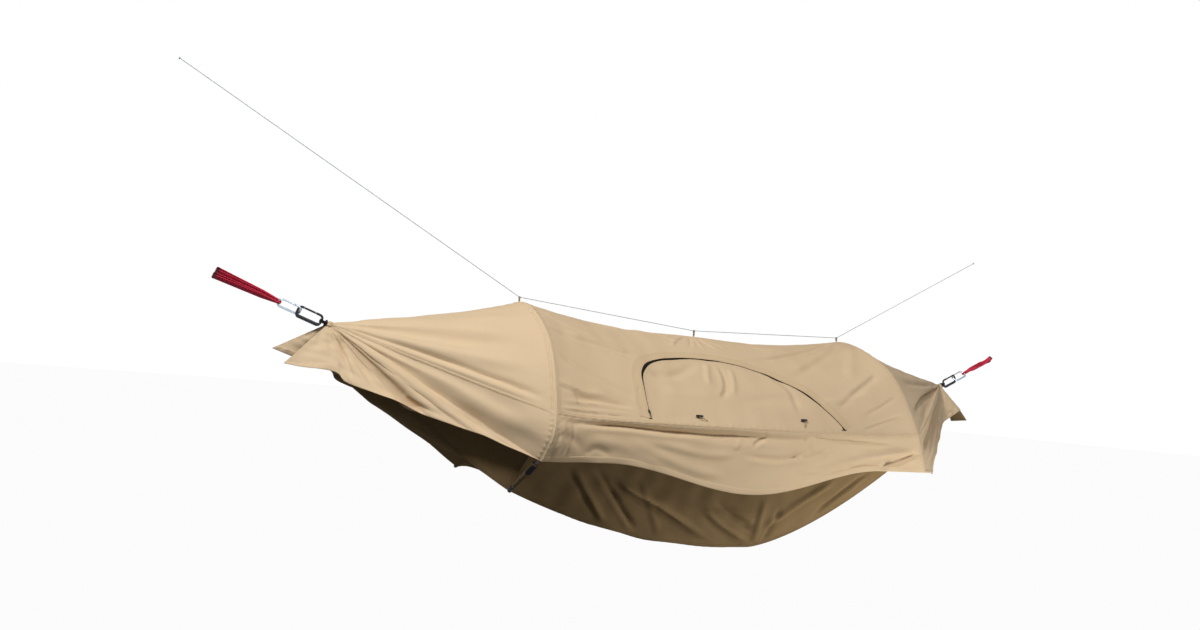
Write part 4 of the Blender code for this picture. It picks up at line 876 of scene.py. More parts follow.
def metal_material(name, plain, worn, rough, metallic, coat=0.0, edge=None):
    """Forged and finished metal: fine grain, rubbed patches, scuffs, and, when edge is given, a painted
    dark rim: colour that darkens as the surface turns away from the camera.
    """
    made, tree, sockets = shader_of(name, Metallic=metallic, Coat_Weight=coat)
    patina = placed(tree, "patina", {"Broad": 70.0, "Fine": 900.0})
    place = node(tree, "ShaderNodeTexCoord").outputs["Object"]
    scuffs = node(tree, "ShaderNodeTexNoise", None,
                  {"Vector": place, "Scale": 240.0, "Detail": 3.0, "Distortion": 2.5})
    rubbed = between(tree, scuffs.outputs[0], 0.6, 0.72)
    rubbed = maths(tree, "MULTIPLY", rubbed, scaled(tree, patina["Fade"], 0.6, 0.1))
    colour = blended(tree, rubbed, plain, worn)
    # edge: painted shade, a darker colour at the rims as the surface turns from the camera
    if edge:
        turned = node(tree, "ShaderNodeLayerWeight", None, {"Blend": 0.5}).outputs["Facing"]
        colour = blended(tree, between(tree, turned, 0.22, 0.66), colour, edge)
    tree.links.new(colour, sockets["Base Color"])
    spread = scaled(tree, patina["Fade"], 0.12, rough)
    spread = scaled(tree, rubbed, 0.15, spread)
    tree.links.new(spread, sockets["Roughness"])
    height = scaled(tree, patina["Speck"], 0.00002)
    bumped(tree, sockets, scaled(tree, rubbed, -0.00003, height), 1.0)
    return made


def fuzz_material(name, light, dark):
    """Hook-and-loop tape: rows of hooks under a fine fuzz."""
    made, tree, sockets = shader_of(name, Sheen_Weight=0.03, Sheen_Roughness=0.6,
                                    Specular_IOR_Level=0.12)
    ribs = placed(tree, "ribs", {"Rib": 0.0015, "Slant": 0.0021})
    patina = placed(tree, "patina", {"Broad": 60.0, "Fine": 1400.0})
    tree.links.new(blended(tree, patina["Speck"], dark, light), sockets["Base Color"])
    spread = scaled(tree, patina["Fade"], 0.1, 0.85)
    tree.links.new(spread, sockets["Roughness"])
    height = scaled(tree, patina["Speck"], 0.00035)
    bumped(tree, sockets, scaled(tree, ribs["Rib"], 0.0002, height), 1.0)
    return made


def moulded_material(name, light, dark, rough):
    """Moulded plastic with a fine grain and a faint bloom."""
    made, tree, sockets = shader_of(name, Specular_IOR_Level=0.2)
    patina = placed(tree, "patina", {"Broad": 90.0, "Fine": 1500.0})
    tree.links.new(blended(tree, patina["Fade"], dark, light), sockets["Base Color"])
    spread = scaled(tree, patina["Speck"], 0.14, rough)
    tree.links.new(spread, sockets["Roughness"])
    bumped(tree, sockets, patina["Speck"], 0.00006)
    return made


def rgba(red, green, blue):
    """An opaque colour."""
    return (red, green, blue, 1.0)


FINISHES = {
    "canvas": cloth_material("sand_canvas", rgba(0.655, 0.502, 0.33), rgba(0.6, 0.452, 0.285),
        rgba(0.6, 0.46, 0.3), 0.9, 0.0011, 0.03, 0.06),
    "canvas_end": cloth_material("sand_canvas_ends", rgba(0.665, 0.515, 0.345), rgba(0.612, 0.466, 0.3),
        rgba(0.62, 0.48, 0.32), 0.9, 0.0011, 0.03, 0.06),
    "canvas_inside": cloth_material("sand_canvas_facing", rgba(0.65, 0.492, 0.312),
        rgba(0.58, 0.43, 0.262), rgba(0.58, 0.44, 0.29), 0.9, 0.0011, 0.03, 0.06),
    "tub": cloth_material("dark_bed_cloth", rgba(0.28, 0.192, 0.097), rgba(0.197, 0.131, 0.061),
        rgba(0.17, 0.12, 0.07), 0.8, 0.0009, 0.0, 0.02),
    "black_webbing": webbing_material("black_webbing", rgba(0.022, 0.022, 0.025),
        rgba(0.009, 0.009, 0.01), 0.8, 0.02, 0.15),
    "red_webbing": webbing_material("crimson_webbing", rgba(0.9, 0.03, 0.11), rgba(0.56, 0.006, 0.034),
        0.6, 0.1),
    # maroon: painted shade over the sling's eye ends, where the strap turns
    "maroon": webbing_material("sling_eye_painted_shade", rgba(0.15, 0.006, 0.014), rgba(0.085, 0.003, 0.007),
        0.65, 0.2),
    "black_metal": metal_material("black_anodised", rgba(0.018, 0.021, 0.026), rgba(0.1, 0.105, 0.11),
        0.34, 0.75, 0.15),
    # the bright metal's last colour is its painted rim shade
    "bright_metal": metal_material("bright_anodised", rgba(0.52, 0.59, 0.68), rgba(0.84, 0.87, 0.9),
        0.22, 1.0, 0.0, rgba(0.055, 0.08, 0.115)),
    "pole": metal_material("pole_tube", rgba(0.045, 0.045, 0.047), rgba(0.12, 0.12, 0.12), 0.42, 0.4),
    "steel": metal_material("pin_steel", rgba(0.52, 0.52, 0.53), rgba(0.7, 0.7, 0.7), 0.28, 1.0),
    "cord": webbing_material("pale_cord", rgba(0.58, 0.67, 0.74), rgba(0.38, 0.45, 0.51), 0.62, 0.1),
    "tie": webbing_material("tan_tie", rgba(0.42, 0.31, 0.18), rgba(0.26, 0.18, 0.1), 0.7, 0.1),
    "tan_webbing": webbing_material("tan_webbing", rgba(0.46, 0.34, 0.2), rgba(0.34, 0.245, 0.14), 0.75,
        0.15),
    "brown_webbing": webbing_material("brown_webbing", rgba(0.135, 0.092, 0.05),
        rgba(0.085, 0.057, 0.03), 0.8, 0.02, 0.1),
    "fuzz": fuzz_material("hook_and_loop", rgba(0.012, 0.012, 0.014), rgba(0.005, 0.005, 0.006)),
    "plastic": moulded_material("black_moulding", rgba(0.02, 0.02, 0.021), rgba(0.012, 0.012, 0.012),
        0.4),
    "zip": webbing_material("dark_zip", rgba(0.022, 0.016, 0.011), rgba(0.008, 0.006, 0.004), 0.7, 0.0,
        0.05),
}


def piece(name, points, faces, finish, body, nodes=(), cloth=None, sewn=None, corners=None):
    """A mesh from middle-frame points, with its maps, riding on a body for some CAD nodes.

    With no body named it stays free.

    cloth and sewn are maps by point; corners is the map "cloth" by face corner instead.
    """
    mesh = bpy.data.meshes.new(name)
    faces = faces.tolist() if isinstance(faces, np.ndarray) else faces
    mesh.from_pydata((np.asarray(points, float) + SHIFT).tolist(), [], faces)
    around = np.empty(len(mesh.loops), np.int32)
    mesh.loops.foreach_get("vertex_index", around)
    for label, table in (("cloth", cloth), ("sewn", sewn)):
        layer = mesh.uv_layers.new(name=label)
        if table is not None:
            values = np.asarray(table)[around]
        elif label == "cloth" and corners is not None:
            values = corners
        else:
            values = np.full((len(around), 2), 1.0)
        layer.data.foreach_set("uv", values.astype(np.float32).ravel())
    mesh.materials.append(FINISHES[finish])
    mesh.shade_smooth()
    mesh.set_sharp_from_angle(angle=math.radians(50))
    made = bpy.data.objects.new(name, mesh)
    bpy.context.scene.collection.objects.link(made)
    if body:
        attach(made, body)
    if nodes:
        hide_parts(*nodes)
    return made


def volume_of(points, faces):
    """Six times the volume inside closed faces, by the sum of fans' triple products."""
    total = 0.0
    by_size = {}
    for face in faces:
        by_size.setdefault(len(face), []).append(face)
    for size, rows in by_size.items():
        corner = points[np.array(rows)]
        for k in range(1, size - 1):
            cross = np.cross(corner[:, k], corner[:, k + 1])
            total += float((corner[:, 0] * cross).sum())
    return total


def outline_round(radius, sides=16):
    """A circle in the outline's own plane."""
    turn = np.arange(sides) * 2 * math.pi / sides
    return paired(radius * np.cos(turn), radius * np.sin(turn))


def outline_strap(width, thickness, steps=5):
    """A strap with rounded selvedges: a half circle at each end of its width."""
    turn = np.linspace(-math.pi / 2, math.pi / 2, steps)
    reach = thickness / 2
    right = paired(width / 2 - reach + reach * np.cos(turn), reach * np.sin(turn))
    across = np.linspace(0, 1, 7)[1:-1, None]
    top = right[-1] * (1 - across) + (right[-1] * (-1, 1)) * across
    return np.vstack([right, top, -right, -top])


def band_cells(count, around, closed=False):
    """Four-cornered cells between rings of points, each ring closed on itself."""
    step = np.arange(count if closed else count - 1)[:, None]
    spot = np.arange(around)
    here, there, beside = step * around, (step + 1) % count * around, (spot + 1) % around
    cells = np.stack([here + spot, here + beside, there + beside, there + spot], axis=-1)
    return cells.reshape(-1, 4)


def carried(line, across, over, outline, closed=False, sizes=None):
    """A closed shell: each ring is line + x across + y over, for the outline's x and y.

    The corner map runs along the line and round the outline, in metres.
    """
    line, outline = np.asarray(line, float), np.asarray(outline, float)
    count, around = len(line), len(outline)
    across, over = (np.broadcast_to(way, line.shape) for way in (across, over))
    sizes = np.ones((count, 2)) if sizes is None else np.asarray(sizes, float)
    spots = outline[None] * sizes[:, None]
    ring = line[:, None] + across[:, None] * spots[..., :1] + over[:, None] * spots[..., 1:]
    points = ring.reshape(-1, 3)
    cells = band_cells(count, around, closed)
    step = np.arange(count if closed else count - 1)
    run = run_of(np.vstack([line, line[:1]]))
    girth = run_of(np.vstack([outline, outline[:1]]))
    begin, end = run[step][:, None], run[step + 1][:, None]
    low, high = girth[:-1][None], girth[1:][None]
    corners = np.stack([paired(begin, low), paired(begin, high), paired(end, high),
                        paired(end, low)], axis=2).reshape(-1, 4, 2)
    faces = cells.tolist()
    caps = []
    if not closed:
        caps = [list(range(around))[::-1], list(range((count - 1) * around, count * around))]
    turned = volume_of(points - points.mean(axis=0), faces + caps) < 0
    if turned:
        faces = [face[::-1] for face in faces]
        corners = corners[:, ::-1]
        caps = [face[::-1] for face in caps]
    flat = np.concatenate([corners.reshape(-1, 2), np.zeros((around * len(caps), 2))])
    return points, faces + caps, flat


def joined(shells):
    """Several closed shells as one mesh's points, faces and corner map."""
    points, faces, corners, count = [], [], [], 0
    for some_points, some_faces, some_corners in shells:
        points.append(some_points)
        faces += [[index + count for index in face] for face in some_faces]
        corners.append(some_corners)
        count += len(some_points)
    return np.vstack(points), faces, np.vstack(corners)


def axes_along(line, closed, up):
    """Tangent, across and over at each point of a line; up is only a first guess."""
    if closed:
        ahead = np.roll(line, -1, axis=0) - np.roll(line, 1, axis=0)
    else:
        ahead = np.gradient(line, axis=0)
    ahead = unit(ahead)
    across = unit(np.cross(ahead, up))
    return ahead, across, np.cross(across, ahead)


def tube(line, radius, up, sides=16, closed=False, sizes=None):
    """A round shell along a line."""
    line = np.asarray(line, float)
    _, across, over = axes_along(line, closed, up)
    return carried(line, across, over, outline_round(radius, sides), closed, sizes)


def shell_piece(name, shells, finish, body, nodes=()):
    """A piece from closed shells."""
    points, faces, corners = joined(shells)
    return piece(name, points, faces, finish, body, nodes, corners=corners)


def turned_shell(centre, axis, stops, sides=24, up=(0.0, 1.0, 0.0)):
    """A turned solid: circles of each stop's radius at its distance along the axis."""
    centre, axis = np.asarray(centre, float), unit(axis)
    stops = np.asarray(stops, float)
    across = unit(np.cross(axis, up))
    over = np.cross(across, axis)
    line = centre + axis * stops[:, :1]
    sizes = np.repeat(stops[:, 1:], 2, axis=1)
    return carried(line, across, over, outline_round(1.0, sides), sizes=sizes)


def aim_camera():
    """The photograph's camera: turned right by its yaw, up by its pitch, then rolled."""
    yaw, pitch, roll = np.radians([CAMERA_YAW, CAMERA_PITCH, CAMERA_ROLL])
    ahead = np.array([math.sin(yaw) * math.cos(pitch), math.cos(yaw) * math.cos(pitch),
                      math.sin(pitch)])
    level = np.array([math.cos(yaw), -math.sin(yaw), 0.0])
    top = np.cross(level, ahead)
    right = math.cos(roll) * level + math.sin(roll) * top
    up = -math.sin(roll) * level + math.cos(roll) * top
    lens = bpy.data.cameras.new("photo_camera")
    lens.sensor_width = 36.0
    lens.lens = CAMERA_LENS
    lens.clip_end = 200.0
    camera = bpy.data.objects.new("photo_camera", lens)
    bpy.context.scene.collection.objects.link(camera)
    turn = np.eye(4)
    turn[:3, 0], turn[:3, 1], turn[:3, 2] = right, up, -ahead
    turn[:3, 3] = np.array(CAMERA_PLACE) + SHIFT
    camera.matrix_world = Matrix(turn.tolist())
    bpy.context.scene.camera = camera


def ridge_stops():
    """The ridge line's two ties, and each loop with a stop close on either side."""
    loops = [np.array(RIDGE_LOOPS[name]) for name in ("head", "middle", "foot")]
    places = [np.array(HEAD_TIE), *loops, np.array(FOOT_TIE)]
    stops = [places[0]]
    for spot in (1, 2, 3):
        before = unit(places[spot - 1] - places[spot])
        after = unit(places[spot + 1] - places[spot])
        stops += [places[spot] + before * RIDGE_BEND, places[spot], places[spot] + after * RIDGE_BEND]
    return np.array(stops + [places[-1]])


def taut_line(stops, counts):
    """A line through its stops by cubic Hermite pieces, with the mean run as each heading."""
    runs = unit(np.diff(stops, axis=0))
    headings = unit(np.vstack([runs[:1], runs[:-1] + runs[1:], runs[-1:]]))
    points = []
    for spot, count in enumerate(counts):
        length = np.linalg.norm(stops[spot + 1] - stops[spot])
        part = np.linspace(0, 1, count, endpoint=False)[:, None]
        points.append(
            stops[spot] * (1 - 3 * part**2 + 2 * part**3)
            + stops[spot + 1] * (3 * part**2 - 2 * part**3)
            + headings[spot] * length * (part - 2 * part**2 + part**3)
            + headings[spot + 1] * length * (part**3 - part**2)
        )
    return np.vstack(points + [stops[-1:]])


def stopper_knot(centre, along):
    """A stopper knot: a tube on a trefoil, (sin t + 2 sin 2t, cos t - 2 cos 2t, -sin 3t)."""
    turn = np.linspace(0, 2 * math.pi, 72, endpoint=False)
    flat = np.stack([np.sin(turn) + 2 * np.sin(2 * turn), np.cos(turn) - 2 * np.cos(2 * turn),
                     -np.sin(3 * turn) * 1.1], axis=1)
    along = unit(along)
    across = unit(np.cross(along, (0.0, 1.0, 0.0)))
    axes = np.stack([across, np.cross(along, across), along])
    line = centre + flat @ axes * (KNOT_SIZE - RIDGE_LINE_RADIUS) / 3
    return tube(line, RIDGE_LINE_RADIUS, along, 10, closed=True)


def make_ridge_line():
    """The cord over the canopy with its two stopper knots."""
    counts = (90, 8, 8, 60, 8, 8, 60, 8, 8, 70)
    line = taut_line(ridge_stops(), counts)
    shells = [tube(line, RIDGE_LINE_RADIUS, (0.0, 1.0, 0.0), 12)]
    made = shell_piece("ridge_cord", shells, "cord", "hammock", ["ridge_line"])
    for name, place, before in (("head", line[0], line[1]), ("foot", line[-1], line[-2])):
        along = unit(place - before)
        shells = [stopper_knot(place + along * (KNOT_SIZE - 0.0008), along)]
        nodes = [f"ridge_knot_{name}"]
        shell_piece(f"stopper_{name}", shells, "cord", "hammock", nodes)


# Folds, each with the points of its route over the panel, its width, its rise and its lean
CANOPY_FOLDS = (
    (0.02, 0.41, 0.085, 0.415, 0.172, 0.405, 0.262, 0.445, 0.02, -0.008, 0.45),
    (0.06, 0.36, 0.15, 0.35, 0.25, 0.39, 0.018, 0.005, 0.0),
    (0.01, 0.62, 0.06, 0.67, 0.118, 0.725, 0.215, 0.83, 0.018, -0.007, 0.5),
    (0.01, 0.2, 0.09, 0.27, 0.18, 0.3, 0.026, 0.004, 0.3),
    (0.0, 0.81, 0.018, 0.805, 0.052, 0.82, 0.085, 0.83, 0.15, 0.815, 0.011, 0.0048, 0.7),
    (0.03, 0.87, 0.08, 0.865, 0.14, 0.87, 0.2, 0.89, 0.016, -0.008, 0.2),
    (0.0, 0.905, 0.07, 0.895, 0.138, 0.89, 0.205, 0.915, 0.008, 0.005, 0.3),
    (0.0, 0.955, 0.08, 0.945, 0.202, 0.945, 0.007, 0.0035, 0.5),
    (0.035, 0.8, 0.048, 0.84, 0.06, 0.88, 0.009, -0.005, 0.5),
    (0.16, 0.1, 0.21, 0.06, 0.27, 0.03, 0.01, -0.004, 0.4),
    (0.3, 0.05, 0.34, 0.035, 0.38, 0.03, 0.009, -0.004, 0.4),
    (0.392, 0.03, 0.405, 0.08, 0.425, 0.135, 0.008, 0.003, 0.5),
    (0.398, 0.2, 0.43, 0.1, 0.47, 0.01, 0.011, 0.0045, 0.5),
    (0.455, 0.2, 0.475, 0.1, 0.49, 0.01, 0.009, -0.0045, 0.5),
    (0.5, 0.21, 0.499, 0.1, 0.498, 0.01, 0.008, 0.0045, 0.6),
    (0.54, 0.19, 0.52, 0.09, 0.506, 0.01, 0.01, -0.004, 0.5),
    (0.585, 0.15, 0.55, 0.08, 0.515, 0.01, 0.011, 0.004, 0.5),
    (0.985, 0.02, 0.93, 0.06, 0.852, 0.13, 0.742, 0.2, 0.6, 0.275, 0.02, -0.01, 0.55),
    (0.985, 0.05, 0.908, 0.19, 0.805, 0.325, 0.7, 0.465, 0.024, -0.0065, 0.5),
    (0.99, 0.1, 0.95, 0.25, 0.905, 0.4, 0.87, 0.52, 0.03, 0.005, 0.4),
    (0.96, 0.51, 0.942, 0.535, 0.86, 0.645, 0.775, 0.77, 0.017, -0.0065, 0.5),
    (0.99, 0.675, 0.928, 0.74, 0.855, 0.81, 0.015, -0.006, 0.5),
    (0.99, 0.81, 0.915, 0.86, 0.825, 0.94, 0.012, -0.0055, 0.5),
    (0.72, 0.74, 0.845, 0.69, 0.972, 0.675, 0.016, 0.0035, 0.3),
    (0.65, 0.02, 0.695, 0.11, 0.75, 0.125, 0.012, -0.004, 0.5),
    (0.2, 0.77, 0.235, 0.8, 0.215, 0.86, 0.01, 0.004, 0.2),
    (0.225, 0.7, 0.215, 0.76, 0.232, 0.83, 0.008, -0.0035, 0.5),
    (0.268, 0.565, 0.308, 0.58, 0.352, 0.555, 0.468, 0.345, 0.024, -0.007, 0.3),
    (0.468, 0.35, 0.445, 0.48, 0.425, 0.62, 0.016, 0.0045, 0.5),
    (0.497, 0.37, 0.49, 0.52, 0.47, 0.65, 0.438, 0.735, 0.015, -0.0055, 0.5),
    (0.527, 0.39, 0.51, 0.55, 0.482, 0.705, 0.014, 0.0045, 0.5),
    (0.628, 0.43, 0.67, 0.62, 0.652, 0.85, 0.02, -0.0035, 0.5),
    (0.48, 0.78, 0.612, 0.71, 0.69, 0.74, 0.026, -0.0035, 0.3),
    (0.28, 0.72, 0.36, 0.74, 0.44, 0.72, 0.028, 0.004, 0.2),
)
SKIRT_FOLDS = (
    (0.0, 0.13, 0.148, 0.12, 0.265, 0.175, 0.442, 0.13, 0.6, 0.11, 0.014, -0.016, 0.35),
    (0.019, 0.02, 0.02, 0.45, 0.019, 0.98, 0.014, 0.0045, 0.0),
    (0.04, 0.02, 0.044, 0.45, 0.04, 0.98, 0.009, -0.0045, 0.4),
    (0.3, 0.22, 0.46, 0.2, 0.6, 0.16, 0.72, 0.2, 0.016, -0.0085, 0.3),
    (0.01, 0.74, 0.014, 0.44, 0.048, 0.5, 0.088, 0.88, 0.018, -0.004, 0.3),
    (0.088, 0.9, 0.11, 0.7, 0.152, 0.93, 0.014, -0.0032, 0.4),
    (0.075, 0.45, 0.13, 0.55, 0.21, 0.75, 0.28, 0.95, 0.024, 0.0045, 0.3),
    (0.445, 0.36, 0.455, 0.27, 0.472, 0.12, 0.011, 0.0032, 0.6),
    (0.495, 0.3, 0.51, 0.22, 0.545, 0.1, 0.01, -0.0065, 0.5),
    (0.458, 0.43, 0.578, 0.49, 0.662, 0.4, 0.013, -0.0065, 0.5),
    (0.652, 0.08, 0.655, 0.22, 0.665, 0.4, 0.012, 0.0034, 0.6),
    (0.6, 0.42, 0.635, 0.5, 0.742, 0.36, 0.011, -0.0055, 0.5),
    (0.735, 0.84, 0.86, 0.63, 0.995, 0.43, 0.015, 0.0075, 0.5),
    (0.855, 0.99, 0.93, 0.74, 1.0, 0.48, 0.013, -0.0085, 0.5),
    (0.655, 0.05, 0.7, 0.13, 0.8, 0.2, 0.93, 0.22, 0.01, -0.006, 0.5),
    (0.2, 0.42, 0.355, 0.5, 0.46, 0.42, 0.018, 0.005, 0.3),
    (0.158, 0.45, 0.31, 0.8, 0.435, 0.8, 0.022, 0.005, 0.4),
    (0.62, 0.75, 0.7, 0.8, 0.8, 0.66, 0.014, 0.004, 0.4),
)
HEAD_FOLDS = (
    (0.16, 0.03, 0.17, 0.383, 0.167, 0.65, 0.16, 0.93, 0.036, -0.013, 0.2),
    (0.07, 0.15, 0.08, 0.45, 0.08, 0.75, 0.09, 0.95, 0.04, 0.008, 0.0),
    (0.65, 0.97, 0.68, 0.717, 0.673, 0.433, 0.66, 0.25, 0.65, 0.02, 0.032, -0.024, 0.45),
    (0.8, 0.16, 0.8, 0.55, 0.8, 0.98, 0.012, 0.008, 0.3),
    (0.835, 0.16, 0.835, 0.55, 0.835, 0.98, 0.01, -0.007, 0.3),
    (0.88, 0.16, 0.88, 0.55, 0.88, 0.98, 0.012, 0.006, 0.3),
    (0.55, 0.03, 0.55, 0.4, 0.55, 0.7, 0.55, 0.95, 0.034, 0.01, 0.2),
    (0.673, 0.83, 0.645, 0.86, 0.61, 0.9, 0.01, 0.004, 0.5),
    (0.66, 0.9, 0.635, 0.93, 0.6, 0.96, 0.009, -0.003, 0.5),
    (0.22, 0.03, 0.213, 0.517, 0.205, 0.95, 0.028, 0.0095, 0.3),
    (0.236, 0.12, 0.24, 0.435, 0.246, 0.8, 0.25, 0.97, 0.014, -0.0105, 0.5),
    (0.33, 0.03, 0.335, 0.45, 0.32, 0.75, 0.3, 0.95, 0.032, -0.007, 0.3),
    (0.4, 0.03, 0.4, 0.45, 0.385, 0.75, 0.37, 0.95, 0.034, 0.006, 0.3),
    (0.47, 0.04, 0.447, 0.65, 0.48, 0.95, 0.026, -0.0065, 0.3),
    (0.78, 0.3, 0.76, 0.65, 0.75, 0.97, 0.012, 0.005, 0.3),
)
FOOT_FOLDS = (
    (0.235, 0.06, 0.207, 0.55, 0.22, 0.96, 0.02, -0.012, 0.4),
    (0.28, 0.06, 0.27, 0.5, 0.265, 0.96, 0.018, 0.009, 0.3),
    (0.37, 0.07, 0.353, 0.633, 0.333, 0.95, 0.02, -0.013, 0.4),
    (0.52, 0.08, 0.5, 0.65, 0.46, 0.98, 0.02, -0.012, 0.4),
    (0.43, 0.08, 0.42, 0.6, 0.4, 0.95, 0.018, 0.009, 0.3),
    (0.15, 0.1, 0.16, 0.5, 0.155, 0.95, 0.024, -0.01, 0.3),
    (0.08, 0.1, 0.09, 0.5, 0.1, 0.95, 0.028, 0.006, 0.2),
    (0.62, 0.1, 0.6, 0.6, 0.57, 0.95, 0.016, 0.007, 0.3),
)
WALL_FOLDS = (
    (0.175, 0.52, 0.24, 0.64, 0.31, 0.725, 0.46, 0.98, 0.014, 0.013, 0.5),
    (0.085, 0.5, 0.155, 0.79, 0.2, 0.97, 0.014, 0.01, 0.5),
    (0.13, 0.45, 0.215, 0.77, 0.275, 0.98, 0.012, -0.01, 0.5),
    (0.235, 0.48, 0.288, 0.755, 0.325, 0.98, 0.015, 0.005, 0.5),
    (0.405, 0.68, 0.465, 0.82, 0.56, 0.99, 0.014, 0.012, 0.5),
    (0.43, 0.62, 0.5, 0.775, 0.555, 0.87, 0.013, -0.0105, 0.5),
    (0.47, 0.66, 0.52, 0.74, 0.55, 0.8, 0.013, 0.008, 0.5),
    (0.56, 0.56, 0.56, 0.8, 0.562, 0.99, 0.016, 0.0075, 0.35),
    (0.61, 0.66, 0.6, 0.85, 0.585, 0.99, 0.016, -0.008, 0.4),
    (0.56, 0.9, 0.66, 0.72, 0.78, 0.56, 0.018, 0.011, 0.4),
    (0.72, 0.95, 0.8, 0.8, 0.9, 0.66, 0.014, -0.009, 0.4),
)


def walled_piece(name, points, cells, thickness, outward, finish, body, nodes, cloth,
                 marks=None):
    """A sheet of points walled to its thickness, with its maps on both faces."""
    both, faces = walled(points.reshape(-1, 3), cells, thickness, outward)
    maps = [table if table is None else np.tile(table.reshape(-1, 2), (2, 1))
            for table in (cloth, marks)]
    return piece(name, both, faces, finish, body, nodes, *maps)


def cloth_piece(name, points, cells, first, second, lengths, sewn, finish, nodes,
                thickness=CANVAS, body="hammock", outward=(0.0, -1.0, 0.5)):
    """A panel of cloth as a walled mesh, with the two maps that its material reads."""
    cloth = paired(first * lengths[0], second * lengths[1])
    marks = np.stack(from_edges(first, second, lengths, sewn), axis=-1)
    return walled_piece(name, points, cells, thickness, outward, finish, body, nodes, cloth, marks)


def plain_panel(name, surface, counts, lengths, shared, sewn, folds, seed, finish, nodes,
                outward, thickness=CANVAS, slack=0.001, trims=(), fan=0.0):
    """A whole panel on an even grid, dressed and walled, with its seams and hem."""
    first, second = np.meshgrid(np.linspace(0, 1, counts[0]), np.linspace(0, 1, counts[1]),
                                indexing="ij")

    def dress(a, b):
        return dressed(surface, a, b, outward, lengths, shared, folds, seed, slack, fan)

    points, _ = dress(first, second)
    cells = grid_faces(*counts)
    made = cloth_piece(name, points, cells, first, second, lengths, sewn, finish, nodes,
                       thickness, outward=outward)
    trims = [trim(dress, points) for trim in trims]


def seam_band(name, dress, route, outward, finish):
    """A felled seam along a route on a panel: a low band with a groove along each stitch row.

    Its height is even, less two narrow bells over the rows.
    """
    points, normals = dress(*route)
    ahead = unit(np.gradient(points, axis=0))
    normals = unit(normals * np.where((normals @ np.array(outward, float)) < 0, -1, 1)[:, None])
    across = unit(np.cross(ahead, normals))
    wide = np.linspace(-SEAM_WIDTH / 2, SEAM_WIDTH / 2, 23)
    rows = np.exp(-((np.abs(wide) - SEAM_ROW) / 0.0008) ** 2)
    top = SEAM_RISE * (1 - 0.6 * rows) * np.sqrt(np.clip(1 - (2 * wide / SEAM_WIDTH) ** 8, 0, 1))
    low = np.full(len(wide), -0.001)
    outline = np.vstack([paired(wide, top), paired(wide, low)[::-1]])
    shell = carried(points, across, unit(np.cross(across, ahead)), outline)
    return shell_piece(name, [shell], finish, "hammock")


def hem_trim(name, rows, finish):
    """A maker of a panel's rolled hem, along the last of some of its rows."""
    def make(_, points):
        shells = [hem_shell(points[rows, -1], points[rows, -3])]
        return shell_piece(name, shells, finish, "hammock")
    return make


def seam_trim(name, route, outward, finish):
    """A maker of a felled seam on a panel."""
    return lambda dress, _: seam_band(name, dress, route, outward, finish)


def hem_shell(edge, inside):
    """A rolled hem: a flattened tube round the cloth's edge, its width back along the cloth."""
    back = unit(inside - edge)
    ahead = unit(np.gradient(edge, axis=0))
    over = unit(np.cross(back, ahead))
    line = edge + back * (HEM_WIDTH / 2 - 0.0012)
    turn = np.arange(14) * 2 * math.pi / 14
    wide = np.sign(np.cos(turn)) * np.abs(np.cos(turn)) ** 0.6 * HEM_WIDTH / 2
    high = np.sign(np.sin(turn)) * np.abs(np.sin(turn)) ** 0.8 * HEM_THICKNESS / 2
    return carried(line, back, over, paired(wide, high))


PANEL_LENGTHS = (1.75, 0.61)


def panel_axes():
    """The door hinge: its middle, and unit vectors along it, up the slope and outwards."""
    share = np.array([0.25, 0.75])
    seam_line = canopy(share, np.ones(2), NEAR)
    along = unit(seam_line[1] - seam_line[0])
    seam = canopy(np.array(0.5), np.array(1.0), NEAR)
    ridge = canopy(np.array(0.5), np.array(0.0), NEAR)
    slope = unit(ridge - seam - along * ((ridge - seam) @ along))
    outward = np.cross(along, slope)
    outward *= np.sign(outward @ (0.0, -1.0, 0.0))
    return seam - along * (seam[0] / along[0]), along, slope, outward


DOOR_START, DOOR_ALONG, DOOR_SLOPE, DOOR_OUTWARD = panel_axes()


def panel_share(x, up):
    """Newton's method from door coordinates to the panel's share and down, whole arrays."""
    x, up = np.asarray(x, float), np.asarray(up, float)
    share = (x - HEAD_HOOP[2][0]) / (FOOT_HOOP[2][0] - HEAD_HOOP[2][0])
    down = 1 - up / 0.6
    step = 0.002
    for _ in range(6):
        here = canopy(share, down, NEAR)
        by_share = (canopy(share + step, down, NEAR) - here) / step
        by_down = (canopy(share, down + step, NEAR) - here) / step
        a, b = by_share @ DOOR_ALONG, by_down @ DOOR_ALONG
        c, d = by_share @ DOOR_SLOPE, by_down @ DOOR_SLOPE
        miss_x = x - (here - DOOR_START) @ DOOR_ALONG
        miss_up = up - (here - DOOR_START) @ DOOR_SLOPE
        size = a * d - b * c
        share = share + (miss_x * d - miss_up * b) / size
        down = down + (miss_up * a - miss_x * c) / size
    return share, down


def aside_of(curve):
    """The direction square to a flat curve, on its left, at each of its points."""
    ahead = unit(np.gradient(curve, axis=0))
    return paired(-ahead[:, 1], ahead[:, 0])


def door_curve(spread, count):
    """The door's arched edge in door coordinates, moved outwards by the spread."""
    curve = spline(np.array(DOOR_OUTLINE), np.linspace(0, len(DOOR_OUTLINE) - 1, 400))
    curve = even_spacing(curve, count)
    return curve + aside_of(curve) * spread


def door_side(share, down):
    """The near side's plain canopy surface."""
    return canopy(share, down, NEAR)


